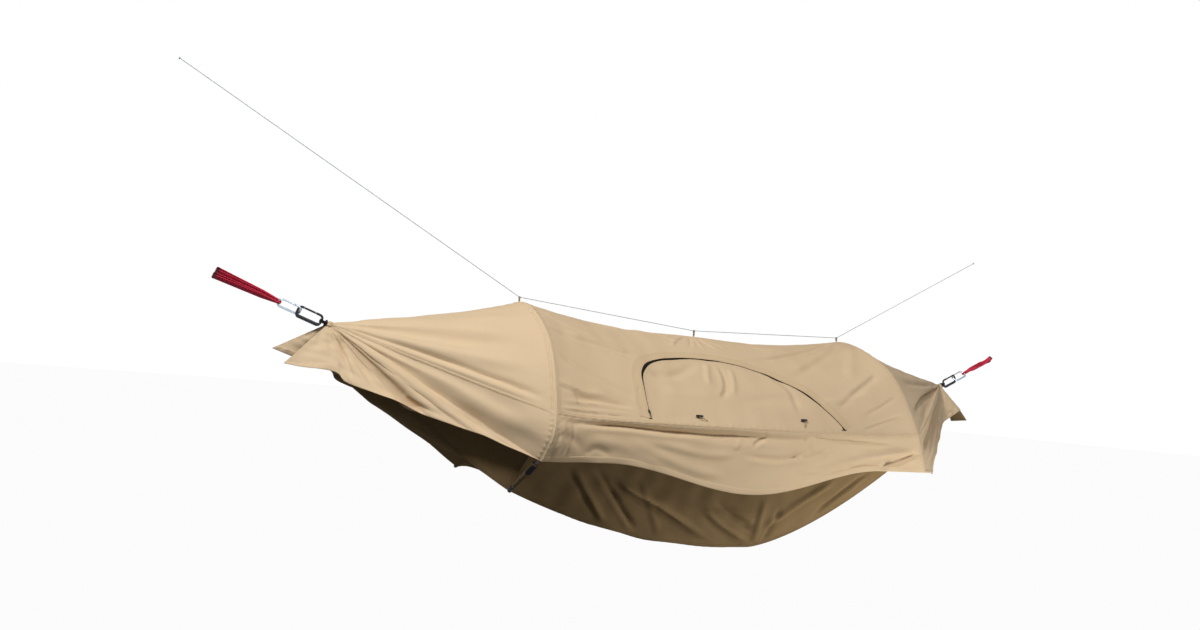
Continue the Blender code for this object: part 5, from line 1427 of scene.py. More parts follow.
def near_points(share, down):
    """The near side's canopy with its folds, kept calm under the slider and the toggles."""
    points = door_side(share, down)
    normals = normals_of(door_side, share, down, DOOR_OUTWARD)
    away, _ = from_edges(share, down, PANEL_LENGTHS, (1, 1, 1, 1))
    height = fold_heights(points, normals, door_side, CANOPY_FOLDS)
    height = height + ripples(share * 3.5, down * 1.22, 3, 0.0012)
    height = puckered(height * eased(away / SEAM_FADE), share * PANEL_LENGTHS[0], away)
    for x, up, reach in CALM_PLACES:
        place = DOOR_START + x * DOOR_ALONG + up * DOOR_SLOPE
        gap = np.linalg.norm(points - place, axis=-1)
        height = height * (1 - CALMED * np.exp(-(gap / reach) ** 4))
    return points + height[..., None] * normals, normals


def make_near_middle():
    """The near canopy with its doorway.

    The doorway's edge is a column of heights: above it rows run up to the ridge, and below
    the hinge line a few rows run on to the long seam.
    """
    curve = door_curve(ZIP_HALF, 190)
    curve[:, 1] = np.maximum(curve[:, 1], DOOR_BASE - HINGE_GAP + 0.0006)
    edge_share, edge_down = panel_share(curve[:, 0], curve[:, 1])
    order = np.maximum.accumulate(edge_share + np.arange(len(edge_share)) * 1e-7)
    left = np.linspace(0, order[0], 46)[:-1]
    right = np.linspace(order[-1], 1, 44)[1:]
    columns = np.concatenate([left, order, right])
    hinge_x = canopy(columns, np.full(columns.shape, 0.96), NEAR) @ DOOR_ALONG
    hinge_x = hinge_x - DOOR_START @ DOOR_ALONG
    _, hinge_down = panel_share(hinge_x, np.full(columns.shape, DOOR_BASE - HINGE_GAP))
    top = hinge_down - 0.0006 / 0.6
    inside = slice(len(left), len(left) + len(order))
    top[inside] = np.minimum(edge_down, top[inside])
    rows = np.linspace(0, 1, 78)
    above = rows[None, :] * top[:, None]
    low_rows = np.linspace(0, 1, 8)
    below = hinge_down[:, None] + (1 - hinge_down[:, None]) * low_rows[None, :]
    down = np.hstack([above, below])
    share = np.repeat(columns[:, None], down.shape[1], axis=1)
    points, _ = near_points(share, down)
    cells = grid_faces(*share.shape)
    keep = np.ones((share.shape[0] - 1, share.shape[1] - 1), bool)
    keep[len(left):len(left) + len(order) - 1, len(rows) - 1] = False
    made = cloth_piece("middle_cloth_near", points, cells[keep.ravel()], share, down, PANEL_LENGTHS,
                       (1, 1, 0, 1), "canvas", ["canopy_middle_near"],
                       outward=DOOR_OUTWARD)
    route = (np.linspace(0.004, 0.996, 300), np.full(300, 0.988))
    seam = seam_band("long_seam_near", near_points, route, DOOR_OUTWARD, "canvas")


def make_door():
    """The leaf: columns from its base up to the arch, and a strip of cloth along its hinge."""
    curve = opened(door_curve(-ZIP_HALF - ZIP_GAP, 210), LEAF_WANDER)[3:-3]
    curve[:, 1] = np.maximum(curve[:, 1], DOOR_BASE + 0.002)
    rows = np.linspace(0, 1, 74)
    x = np.repeat(curve[:, :1], len(rows), axis=1)
    up = DOOR_BASE + (curve[:, 1:] - DOOR_BASE) * rows[None, :]
    share, down = panel_share(x, up)
    points, _ = near_points(share, down)
    cells = grid_faces(*x.shape)
    rim = points[:, -1]
    gap = np.linalg.norm(points.reshape(-1, 1, 3) - rim[None, ::3], axis=-1)
    run = run_of(rim)[::3][gap.argmin(1)]
    made = walled_piece("door_leaf", points, cells, CANVAS, DOOR_OUTWARD, "canvas", "door",
                        ["door_panel"], paired(x, up),
                        paired(gap.min(1), run))
    edge = np.linspace(DOOR_BASE - HINGE_GAP - 0.001, DOOR_BASE + 0.001, 5)
    x = np.repeat(np.linspace(curve[4, 0], curve[-5, 0], 160)[:, None], 5, axis=1)
    up = np.repeat(edge[None], 160, axis=0)
    points, normals = near_points(*panel_share(x, up))
    points = points + normals * HINGE_STRIP_LIFT
    strip = walled_piece("door_foot_cloth", points, grid_faces(160, 5),
                         FACING_THICKNESS, DOOR_OUTWARD, "canvas", None, (),
                         paired(x, up))
    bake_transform(strip)


def opened(curve, distance):
    """The arch's curve moved outwards where its zip gapes, by bells along it."""
    along = np.linspace(0, 1, len(curve))
    gape = sum(size * np.exp(-((along - at) / reach) ** 2) for at, reach, size in ZIP_OPENS)
    return curve + aside_of(curve) * distance * gape[:, None]


def arch_band(spreads, lift, count, wander=0.0):
    """Rows of points beside the arch, each at its own spread, lifted off the canvas."""
    share_rows, down_rows = [], []
    for spread in spreads:
        curve = door_curve(spread, count)
        if spread <= 0.004:
            curve = opened(curve, wander)
        curve[:, 1] = np.maximum(curve[:, 1], DOOR_BASE - HINGE_GAP + 0.001)
        share, down = panel_share(curve[:, 0], curve[:, 1])
        share_rows.append(share)
        down_rows.append(down)
    share, down = np.stack(share_rows, axis=1), np.stack(down_rows, axis=1)
    points, normals = near_points(share, np.clip(down, 0, 1))
    return points + normals * lift, normals


def make_zip():
    """The facing sewn round the doorway, the tape in its gap and the coil on the tape."""
    spreads = np.concatenate([np.linspace(FACING_FROM, 0.008, 5), np.linspace(0.012, FACING_TO, 12)])
    count = 240
    points, _ = arch_band(spreads, FACING_LIFT, count, wander=FACING_WANDER)
    along = run_of(points[:, -1])[:, None]
    aside = spreads[None] - FACING_FROM
    inner = np.minimum(aside, FACING_TO - FACING_FROM - aside)
    made = walled_piece("door_facing", points, grid_faces(count, len(spreads)),
                        FACING_THICKNESS, DOOR_OUTWARD, "canvas_inside", "hammock", (),
                        paired(along, aside), paired(inner, along))
    centre, normals = arch_band((0.0,), ZIP_SINK, 260, wander=ZIP_WANDER)
    line, over = centre[:, 0], normals[:, 0]
    across = unit(np.cross(np.gradient(line, axis=0), over))
    tape = carried(line, across, over, outline_strap(2 * (ZIP_HALF + TAPE_LAP), TAPE_THICKNESS))
    dense = even_spacing(line, 1100)
    twist = np.arange(len(dense)) % 2
    sizes = 1 + 0.22 * np.repeat(twist[:, None], 2, axis=1)
    shares = np.linspace(0, 1, len(dense))
    over_dense = np.stack([np.interp(shares, np.linspace(0, 1, len(over)), over[:, k])
                           for k in range(3)], axis=1)
    coil = tube(dense + over_dense * COIL_LIFT, COIL_RADIUS, over_dense, 6, sizes=sizes)
    shell_piece("zip_tape_and_coil", [tape, coil], "zip", "hammock", ["door_zip"])


def surface_place(x, up):
    """The plain canvas at one place of the door, and its outward direction."""
    share, down = panel_share(np.array([x]), np.array([up]))
    point = door_side(share, down)
    return point[0], normals_of(door_side, share, down, DOOR_OUTWARD)[0]


def make_slider():
    """The zip's slider: a waisted body, a bridge over it and a long pull with a slot."""
    low_x, low_up = DOOR_OUTLINE[0]
    high_x, high_up = DOOR_OUTLINE[1]
    ends = []
    for up in (DOOR_BASE + SLIDER_UP, DOOR_BASE + SLIDER_UP + SLIDER_TRAVEL):
        share = (up - low_up) / (high_up - low_up)
        place, normal = surface_place(low_x + (high_x - low_x) * share, up)
        ends.append(place + normal * (CANVAS / 2 + SLIDER_STANDOFF + SLIDER_SIZE[2] / 2))
    run = unit(ends[1] - ends[0])
    side = unit(np.cross(normal, run))
    out = np.cross(run, side)
    low, along = ends[0], np.linspace(-0.5, 0.5, 17)
    line = low + np.outer(along * SLIDER_SIZE[1] * 0.98, run)
    waist = 0.72 + 0.28 * np.abs(np.sin(along * math.pi)) ** 0.8
    waist = waist * np.sqrt(np.clip(1 - (2 * np.abs(along)) ** 6, 0.05, 1))
    outline = outline_strap(SLIDER_SIZE[0], SLIDER_SIZE[2] * 0.8)
    body = carried(line, side, out, outline, sizes=paired(waist, waist**0.3))
    lift = (SLIDER_SIZE[2] + PULL_SIZE[2]) / 2 - 0.0004
    middle = low + out * lift - run * (PULL_SIZE[1] - SLIDER_SIZE[1]) / 2
    turn = np.linspace(0, 2 * math.pi, 56, endpoint=False)
    bend = np.sign(np.cos(turn)) * np.abs(np.cos(turn)) ** 0.45
    ring = (middle + np.outer(bend * (PULL_SIZE[1] / 2 - 0.0011), run)
            + np.outer(np.sin(turn) * (PULL_SIZE[0] / 2 - 0.0011), side))
    _, across, over = axes_along(ring, True, out)
    pull = carried(ring, across, over, outline_strap(0.002, PULL_SIZE[2] * 0.9), closed=True)
    arch = np.radians(np.linspace(0, 180, 13))
    bridge_line = (low + np.outer(np.cos(arch) * 0.0045, run)
                   + np.outer(np.sin(arch) * 0.0022 + SLIDER_SIZE[2] * 0.38, out))
    bridge = tube(bridge_line, 0.0007, side, 10)
    shell_piece("slider_and_pull", [body, pull, bridge], "plastic", "zip_slider", ["zip_slider"])


def make_toggles():
    """Barrel toggles with turned grooves, each on a short tan cord."""
    for end, x, barrel_x, barrel_up in TOGGLE_PLACES:
        anchor, normal = surface_place(x, TOGGLE_UP)
        root = anchor + normal * (CANVAS / 2 + FIT_GAP + 0.0016)
        centre = surface_place(barrel_x, barrel_up)[0] + normal * TOGGLE_STANDOFF
        half = TOGGLE_LENGTH / 2
        along = np.linspace(-1, 1, 41)
        shape = np.clip(1 - np.abs(along) ** 7 * 0.42, 0, 1)
        shape = shape - 0.1 * np.exp(-((np.abs(along) - 0.62) / 0.05) ** 2)
        shape = shape - 0.14 * np.exp(-(along / 0.07) ** 2)
        shape[0] = shape[-1] = 0.4
        stops = paired(along * half, shape * TOGGLE_RADIUS)
        barrel = turned_shell(centre, DOOR_ALONG, stops, 22, DOOR_OUTWARD)
        shell_piece(f"toggle_barrel_{end}", [barrel], "plastic", f"toggle_{end}", [f"toggle_{end}"])
        meet = centre - DOOR_SLOPE * (TOGGLE_RADIUS + FIT_GAP)
        approach = meet - DOOR_SLOPE * 0.005
        halfway = (root + approach) / 2 + normal * 0.002
        stops = np.array([root, root + normal * 0.003, halfway, approach, meet])
        route = spline(stops, np.linspace(0, 4, 40))
        cord = tube(route, TOGGLE_CORD_RADIUS, DOOR_ALONG, 10)
        shell_piece(f"toggle_tie_{end}", [cord], "tie", f"toggle_{end}", [f"toggle_{end}_cord"])


def make_canopy():
    """The canopy: its middle with door and zip, the skirts and the ends, hemmed and seamed."""
    make_near_middle()
    make_door()
    make_zip()
    low = (np.linspace(0.004, 0.996, 300), np.full(300, 0.988))
    plain_panel(
        "middle_cloth_far", lambda a, b: canopy(a, b, FAR), (220, 78), PANEL_LENGTHS,
        (1, 1, 1, 1), (1, 1, 0, 1), CANOPY_FOLDS[:27], 8, "canvas", ["canopy_middle_far"],
        (0.0, 1.0, 0.5),
        trims=[seam_trim("long_seam_far", low, (0.0, 1.0, 0.5), "canvas")])
    for side_name, side in SIDES:
        outward = (0.0, side, 0.3)
        folds = SKIRT_FOLDS if side == NEAR else SKIRT_FOLDS[1:]
        plain_panel(
            f"skirt_cloth_{side_name}", lambda a, b, s=side: skirt(a, b, s), (270, 46),
            (1.81, 0.25), (1, 1, 1, 0), (1, 1, 1, 0), folds, 12, "canvas",
            [f"skirt_{side_name}"], outward, slack=0.0014,
            trims=[hem_trim(f"skirt_hem_{side_name}", slice(None), "canvas")])
        for end_name, end in ENDS:
            folds = HEAD_FOLDS if end < 0 else FOOT_FOLDS
            facing = (end * 0.6, side, 0.5)
            hoop = (np.linspace(0.004, RIM_SKIRT - 0.004, 220), np.full(220, 0.986))
            rows = np.linspace(0.1, 0.985, 180)
            fan = (np.full(180, RIM_HOOP), rows)
            place = f"{end_name}_{side_name}"
            plain_panel(
                f"{end_name}_end_cloth_{side_name}",
                lambda a, b, e=end, s=side: end_panel(a, b, e, s), (230, 74), (2.2, 0.76),
                (1, 0, 1, 1), (1, 0, 0, 1), folds, 20 + end, "canvas_end",
                [f"canopy_{end_name}_{side_name}"], facing,
                slack=0.0014, fan=0.34, trims=[
                    hem_trim(f"end_hem_{place}", slice(int(230 * RIM_SKIRT), None), "canvas_end"),
                    seam_trim(f"hoop_seam_{place}", hoop, facing, "canvas_end"),
                    seam_trim(f"fan_seam_{place}", fan, facing, "canvas_end"),
                ])


def make_bed():
    """The tub: two walls and a floor between the hoops, and three panels and a tail beyond."""
    for side_name, side in SIDES:
        plain_panel(
            f"bed_wall_{side_name}", lambda a, b, s=side: tub_wall(a, b, s), (200, 62),
            (1.86, 0.48), (1, 1, 1, 1), (1, 1, 1, 1), WALL_FOLDS, 31, "tub",
            [f"tub_wall_{side_name}"], (0.0, side, -0.3), TUB_CLOTH, 0.002)
    plain_panel("bed_floor", lambda a, b: tub_floor(a, 2 * b - 1), (170, 70), (2.0, 0.75),
                (1, 1, 1, 1), (1, 1, 1, 1), (), 33, "tub", ["tub_floor"], (0.0, 0.0, -1.0),
                TUB_CLOTH, 0.003)
    for end_name, end in ENDS:
        plain_panel(
            f"bed_{end_name}_floor", lambda a, b, e=end: end_floor(a, 2 * b - 1, e), (70, 60),
            (0.8, 0.5), (1, 1, 1, 1), (0, 1, 1, 1), (), 35 + end, "tub",
            [f"tub_{end_name}_floor"], (0.0, 0.0, -1.0),
            TUB_CLOTH, 0.0024)
        for side_name, side in SIDES:
            plain_panel(
                f"bed_{end_name}_side_{side_name}",
                lambda a, b, e=end, s=side: end_side(a, b, e, s), (70, 44), (0.8, 0.3),
                (1, 1, 1, 1), (0, 1, 1, 0), (), 38 + end, "tub",
                [f"tub_{end_name}_side_{side_name}"], (0.0, side, 0.1),
                TUB_CLOTH, 0.002)
        plain_panel(
            f"bed_{end_name}_tail", lambda a, b, e=end: tail(a, b, e), (40, 40), (0.2, 0.2),
            (1, 0, 0, 0), (0, 1, 0, 0), (), 41 + end, "tub", [f"tub_{end_name}_tail"],
            (0.0, -1.0, 0.0),
            TUB_CLOTH, 0.001)


def pole_line(hoop, first, last, count):
    """The pole's centre line inside the canvas: the hoop's outline moved inwards."""
    at = np.linspace(first, last, count)
    places = np.abs(at)
    outline = hoop_line(hoop, places)
    sign = np.where(at < 0, -1, 1)
    outline[:, 1] *= sign
    step = 0.01
    ahead = hoop_line(hoop, places + step) - hoop_line(hoop, np.maximum(places - step, 0))
    tangent = unit(ahead * (0, 1, 1))
    inward = np.stack([np.zeros(count), tangent[:, 2], -tangent[:, 1]], axis=1)
    inward[:, 1] *= sign
    tuck = POLE_TUCK * np.clip((places - 0.9) / 0.25, 0, 1)
    offset = CANVAS / 2 + POLE_CLEARANCE + POLE_RADIUS + tuck
    return outline + inward * offset[:, None]


def pipe(line, outer, inner, up, sides=22):
    """An open sleeve: out along its outside, over the lip, and back along its bore."""
    _, across, over = axes_along(line, False, up)
    turn = np.arange(sides) * 2 * math.pi / sides
    rings = []
    for radius, order in ((outer, slice(None)), (inner, slice(None, None, -1))):
        circle = (np.cos(turn)[None, :, None] * across[order, None]
                  + np.sin(turn)[None, :, None] * over[order, None]) * radius
        rings.append(line[order, None] + circle)
    points = np.concatenate(rings)
    cells = band_cells(len(points), sides, closed=True)
    flat = points.reshape(-1, 3)
    if volume_of(flat - flat.mean(axis=0), cells.tolist()) < 0:
        cells = cells[:, ::-1]
    run = run_of(np.vstack([line, line[::-1]]))
    table = paired(run[:, None], turn[None] * outer).reshape(-1, 2)
    return flat, cells.tolist(), table[cells.ravel()]


def make_hoops():
    """The poles with their ferrules, the sleeves, the hook-and-loop tabs and the cups."""
    for end_name, end in ENDS:
        hoop, sleeve_from, sleeve_to = SLEEVES[end]
        pole = pole_line(hoop, -2, 2, 241)
        shells = [tube(pole, POLE_RADIUS - 0.00015, (1.0, 0.0, 0.0), 16)]
        for spot in (42, 90, 150, 198):
            shells.append(tube(pole[spot:spot + 7], POLE_RADIUS + 0.0005, (1.0, 0.0, 0.0), 16))
        shell_piece(f"{end_name}_pole", shells, "pole", "hammock", [f"{end_name}_hoop"])
        for side_name, side in SIDES:
            place = f"{end_name}_{side_name}"
            lower = pole_line(hoop, side * sleeve_from, side * sleeve_to, 40)
            sleeve = pipe(lower, SLEEVE_RADIUS, SLEEVE_BORE, (1.0, 0.0, 0.0))
            shell_piece(f"sleeve_{place}", [sleeve], "brown_webbing", "hammock",
                        [f"{end_name}_sleeve_{side_name}"])
            make_tab(end_name, side_name, side, hoop, sleeve_from)
            tail_line = pole_line(hoop, side * 1.97, side * 2, 2)
            inward = unit(tail_line[0] - tail_line[1])
            stops = ((-CUP_FLOOR - FIT_GAP, 0.0004), (-CUP_FLOOR - FIT_GAP, CUP_RADIUS * 0.82),
                     (-CUP_FLOOR * 0.6, CUP_RADIUS), (CUP_DEPTH * 0.3, CUP_RADIUS),
                     (CUP_DEPTH * 0.36, CUP_RADIUS * 0.94), (CUP_DEPTH * 0.42, CUP_RADIUS),
                     (CUP_DEPTH - 0.001, CUP_RADIUS), (CUP_DEPTH, CUP_RADIUS * 0.9),
                     (CUP_DEPTH, SLEEVE_BORE), (-FIT_GAP, SLEEVE_BORE), (-FIT_GAP, 0.0004))
            cup = turned_shell(tail_line[1], inward, stops, 28, (1.0, 0.0, 0.0))
            shell_piece(f"pole_cup_{place}", [cup], "plastic", "hammock",
                        [f"{end_name}_cup_{side_name}"])


def make_tab(end_name, side_name, side, hoop, sleeve_from):
    """A hook-and-loop tab: a bent plate with rounded corners, wrapped round its sleeve."""
    first = sleeve_from + TAB_FROM
    line = pole_line(hoop, side * first, side * (first + TAB_RUN), 25)
    _, across, over = axes_along(line, False, (0.0, side, -0.6))
    half = math.radians(TAB_ARC / 2)
    share = np.linspace(-1, 1, 25)
    length = np.linspace(0, 1, 25)
    round_off = np.sqrt(np.clip(1 - np.clip(np.abs(2 * length - 1) - 0.72, 0, 1) ** 2 / 0.09, 0, 1))
    turn = share[None, :] * half * (0.72 + 0.28 * round_off[:, None]) + math.pi / 2
    radius = TAB_RADIUS + TAB_THICKNESS / 2
    points = (line[:, None] + (across[:, None] * np.cos(turn)[..., None]
                               + over[:, None] * np.sin(turn)[..., None]) * radius)
    both, faces = walled(points.reshape(-1, 3), grid_faces(25, 25), TAB_THICKNESS * 0.95)
    if volume_of(both - both.mean(axis=0), faces.tolist()) < 0:
        faces = faces[:, ::-1]
    cloth = paired(run_of(line)[:, None], share[None] * half * radius)
    piece(f"hook_tab_{end_name}_{side_name}", both, faces, "fuzz",
          f"{end_name}_tab_{side_name}", [f"{end_name}_tab_{side_name}"],
          cloth=np.tile(cloth.reshape(-1, 2), (2, 1)))


def arc(centre, radius, first, last, steps):
    """Points on a flat arc between two angles in degrees."""
    turn = np.radians(np.linspace(first, last, steps))
    return paired(centre[0] + radius * np.cos(turn), centre[1] + radius * np.sin(turn))


def bar_line(link):
    """A carabiner's bar from its hinge end round to its nose, and how much spine it is."""
    half = (link["width"] - link["bar"]) / 2
    low = link["bar"] / 2 + link["corner"]
    high = link["length"] - low
    bend = half - link["corner"]
    hinge = link["length"] * GATE_LOW
    path = np.vstack([
        [(hinge, -half), (hinge - 0.004, -half), (hinge - 0.008, -half)],
        arc((low, -bend), link["corner"], 270, 180, 12),
        arc((low, bend), link["corner"], 180, 90, 12),
        paired(np.linspace(low, high, 14)[1:-1], half),
        arc((high, bend), link["corner"], 90, 0, 12),
        arc((high, -bend), link["corner"], 0, -90, 12),
        [(link["length"] * GATE_HIGH + 0.004, -half), (link["length"] * GATE_HIGH, -half)],
    ])
    path = even_spacing(path, 120)
    return path, np.clip((path[:, 1] / half - 0.6) / 0.4, 0, 1), half


def make_link(name, link, end, start, twist):
    """A carabiner: forged bar, forked end with its pin, and a gate with a turned barrel."""
    out, across, face = chain_axes(end, twist)
    base = GATHERS[end] + out * start
    path, on_spine, half = bar_line(link)
    line = base + path[:, :1] * out + path[:, 1:] * across
    radius = link["bar"] / 2
    thick = radius * GATE_THICKNESS
    cheek_in = thick + PIN_CLEARANCE
    sizes = np.ones((len(path), 2))
    sizes[:, 0] += (link["spine"] / link["bar"] - 1) * on_spine
    sizes[-4:] *= np.array([1.0, 0.97, 0.88, 0.7])[:, None]
    _, side, over = axes_along(line, False, face)
    turn = np.arange(20) * 2 * math.pi / 20
    flatter = np.sign(np.cos(turn)) * np.abs(np.cos(turn)) ** 0.85
    outline = paired(flatter, np.sin(turn)) * radius
    shells = [carried(line, side, over, outline, sizes=sizes)]
    pin_along = link["length"] * GATE_LOW + thick + GATE_END_GAP
    pin = base + out * pin_along - across * half
    for sign in (-1, 1):
        middle = pin + face * sign * (cheek_in + CHEEK / 2) - out * (thick * 0.5)
        spots = np.linspace(-1, 1, 15)
        reach = thick * 1.7
        plate = middle + np.outer(spots * reach, out)
        high = np.sqrt(np.clip(1 - np.clip(np.abs(spots) - 0.55, 0, 1) ** 2 / 0.2025, 0.02, 1))
        shells.append(carried(plate, across, face, outline_strap(thick * 1.5, CHEEK, 4),
                              sizes=paired(high, 1.0)))
    finish = "black_metal" if link is BLACK_LINK else "bright_metal"
    shell_piece(f"{name}_bar", shells, finish, name, [f"{name}_body"])
    reach = cheek_in + CHEEK
    stops = ((-reach - 0.0004, 0.0003), (-reach - 0.0003, 0.0013), (-reach, 0.0016),
             (-reach, PIN_RADIUS), (reach, PIN_RADIUS), (reach, 0.0016),
             (reach + 0.0003, 0.0013), (reach + 0.0004, 0.0003))
    shell_piece(f"{name}_pin", [turned_shell(pin, face, stops, 18, tuple(out))], "steel", name)
    gate_reach = link["length"] * GATE_HIGH - GATE_END_GAP - pin_along
    low = -np.cos(np.radians(np.linspace(15, 90, 8))) * thick
    low_wide = np.sin(np.radians(np.linspace(15, 90, 8)))
    along = np.linspace(0.03, 0.97, 30)
    wide = 1.0 - 0.1 * np.exp(-((along - 0.16) / 0.02) ** 2)
    wide -= 0.1 * np.exp(-((along - 0.8) / 0.02) ** 2)
    stops = np.vstack([
        paired(low, low_wide * thick),
        paired(along * gate_reach, wide * thick),
        [(gate_reach * 0.99, thick * 0.86), (gate_reach, thick * 0.6)],
    ])
    gate = turned_shell(pin, out, stops, 20, tuple(face))
    shell_piece(f"{name}_gate_bar", [gate], finish, f"{name[:-5]}_gate", [f"{name}_gate"])
    return base + out * (link["length"] - radius), out, across, face


def make_end_loop(name, end):
    """The webbing loop: its legs spread from the knot to the carabiner that they hold."""
    out, across, face = chain_axes(end)
    bar = LINK_START + BLACK_LINK["bar"] / 2
    radius = BLACK_LINK["bar"] / 2 + LINK_CLEARANCE + END_LOOP_THICKNESS / 2
    legs = np.linspace(LOOP_ROOT, bar, 8)[:-1]
    spread = (legs - LOOP_ROOT) / (bar - LOOP_ROOT)
    aside = radius * (LEGS_MEET + (1 - LEGS_MEET) * spread)
    path = np.vstack([
        paired(legs, -aside), arc((bar, 0.0), radius, -90, 90, 25),
        paired(legs[::-1], aside[::-1]),
    ])
    line = GATHERS[end] + path[:, :1] * out + path[:, 1:] * face
    ahead = unit(np.gradient(line, axis=0))
    over = unit(np.cross(across, ahead))
    pinch = END_LOOP_PINCH - 0.06 * eased((bar - path[:, 0]) / 0.012)
    sizes = paired(pinch, 1.0)
    outline = outline_strap(END_LOOP_WIDTH, END_LOOP_THICKNESS)
    shells = [carried(line, across, over, outline, sizes=sizes)]
    shell_piece(f"{name}_webbing_loop", shells, "black_webbing", f"{name}_black_link",
                [f"{name}_end_loop"])


def sling_path(end, near):
    """The endless sling's line, square to its width: (along, off the middle)."""
    inner = BRIGHT_LINK["bar"] / 2 + LINK_CLEARANCE + SLING_THICKNESS / 2
    outer = inner + SLING_THICKNESS + SLING_LAYERS
    far = CHAINS[end]["sling_end"] - SLING_THICKNESS / 2 - EYE_CORNER
    middle = CHAINS[end]["legs"]
    reach = EYE_HALF - EYE_CORNER
    eye = np.vstack([arc((far, middle + reach), EYE_CORNER, 90, 0, 9),
                     arc((far, middle - reach), EYE_CORNER, 0, -90, 9)])
    legs = np.linspace(0, 1, 36)[1:-1]
    outward = mixed((near, outer), (far, middle + EYE_HALF), legs)
    inward = mixed((far, middle - EYE_HALF), (near, inner), legs)
    upper = np.vstack([outward, eye, inward])
    lower = upper[::-1] * (1, -1)
    return np.vstack([arc((near, 0.0), outer, 270, 90, 25), upper,
                      arc((near, 0.0), inner, 90, 270, 25), lower])


def make_sling(name, end, bar_place, bar_axes):
    """The endless sling: a strap carried on its line, rolled by a squared sine midway."""
    out, across, face = bar_axes
    centre = GATHERS[end]
    near = (bar_place - centre) @ out
    path = sling_path(end, near)
    length = CHAINS[end]["sling_end"] - near
    share = np.clip((path[:, 0] - near) / length, 0, 1)
    roll = math.radians(CHAINS[end]["roll"]) * np.sin(share * math.pi) ** 2
    width_way = across * np.cos(roll)[:, None] + face * np.sin(roll)[:, None]
    off_way = -across * np.sin(roll)[:, None] + face * np.cos(roll)[:, None]
    line = centre + path[:, :1] * out + path[:, 1:] * off_way
    ahead = unit(np.roll(line, -1, axis=0) - np.roll(line, 1, axis=0))
    over = unit(np.cross(width_way, ahead))
    spread = np.clip((path[:, 0] - near) / SLING_SPREAD, 0, 1)
    pinch = SLING_PINCH + (1 - SLING_PINCH) * spread
    if CHAINS[end]["roll"]:
        pinch = pinch * (1 - 0.45 * np.exp(-((share - 0.52) / 0.16) ** 2))
    sizes = paired(pinch, 1 + 0.25 * (1 - spread))
    shells = [carried(line, width_way, over, outline_strap(SLING_SHOWN, SLING_THICKNESS),
                      closed=True, sizes=sizes)]
    shell_piece(f"{name}_strap", shells, "red_webbing", name, [name])
    # A darker maroon sheet over each eye end: painted shade where the strap turns round its eye.
    held = share > EYE_SHADE_FROM
    turns = np.where(np.diff(held.astype(int)))[0] + 1
    outline = outline_strap(SLING_SHOWN * 1.01, SLING_THICKNESS + EYE_SHADE_PROUD)
    eye_shade_sheets = [carried(line[spots], width_way[spots], over[spots], outline, sizes=sizes[spots])
             for spots in np.split(np.arange(len(path)), turns)
             if held[spots[0]] and len(spots) > 2]
    shell_piece(f"{name}_tacks", eye_shade_sheets, "maroon", name)


def make_gather(name, end):
    """Bunched cloth: a ball whose radius drops in folds round it, and two turns of binding."""
    out, across, face = chain_axes(end)
    centre = GATHERS[end]
    rows, spots = 40, 96
    lean = np.linspace(0.06, math.pi - 0.06, rows)[:, None]
    turn = (np.arange(spots) * 2 * math.pi / spots)[None]
    folds = 0.95 + 0.05 * np.cos(9 * turn + 1.2 * np.cos(lean)) * np.sin(lean) ** 0.5
    radius = KNOT_RADIUS * TIGHT_KNOT * folds
    ring = (centre + (radius * np.cos(lean))[..., None] * out
            + (radius * np.sin(lean) * np.cos(turn))[..., None] * across
            + (radius * np.sin(lean) * np.sin(turn))[..., None] * face)
    faces = band_cells(rows, spots).tolist()
    faces += [list(range(spots))[::-1], list(range((rows - 1) * spots, rows * spots))]
    points = ring.reshape(-1, 3)
    if volume_of(points - centre, faces) < 0:
        faces = [row[::-1] for row in faces]
    corners = np.full((sum(len(row) for row in faces), 2), 1.0)
    table = paired(lean * KNOT_RADIUS, turn * KNOT_RADIUS)
    quads = np.array(faces[:-2]).ravel()
    corners[:len(quads)] = table.reshape(-1, 2)[quads]
    piece(f"{name}_bunched_cloth", points, faces, "canvas_end", "hammock", [f"{name}_gather"],
          corners=corners)
    coils = np.linspace(0, 2 * 2 * math.pi, 120)
    wind = (centre + np.outer(np.linspace(*BINDING_SPAN, 120), out)
            + np.outer(np.cos(coils) * BINDING_RADIUS, across)
            + np.outer(np.sin(coils) * BINDING_RADIUS, face))
    shell_piece(f"{name}_binding", [tube(wind, BINDING_CORD, tuple(out), 12)], "black_webbing",
                f"{name}_black_link")


def make_chains():
    """At each end: gathered cloth, webbing loop, black carabiner, bright one, red sling."""
    for name, end in ENDS:
        make_gather(name, end)
        make_end_loop(name, end)
        upper = make_link(f"{name}_black_link", BLACK_LINK, end, LINK_START, 0.0)
        reach = (upper[0] - GATHERS[end]) @ upper[1]
        start = reach - BLACK_LINK["bar"] / 2 - LINK_CLEARANCE - BRIGHT_LINK["bar"]
        bar, *axes = make_link(f"{name}_bright_link", BRIGHT_LINK, end, start, CHAINS[end]["twist"])
        make_sling(f"{name}_sling", end, bar, axes)


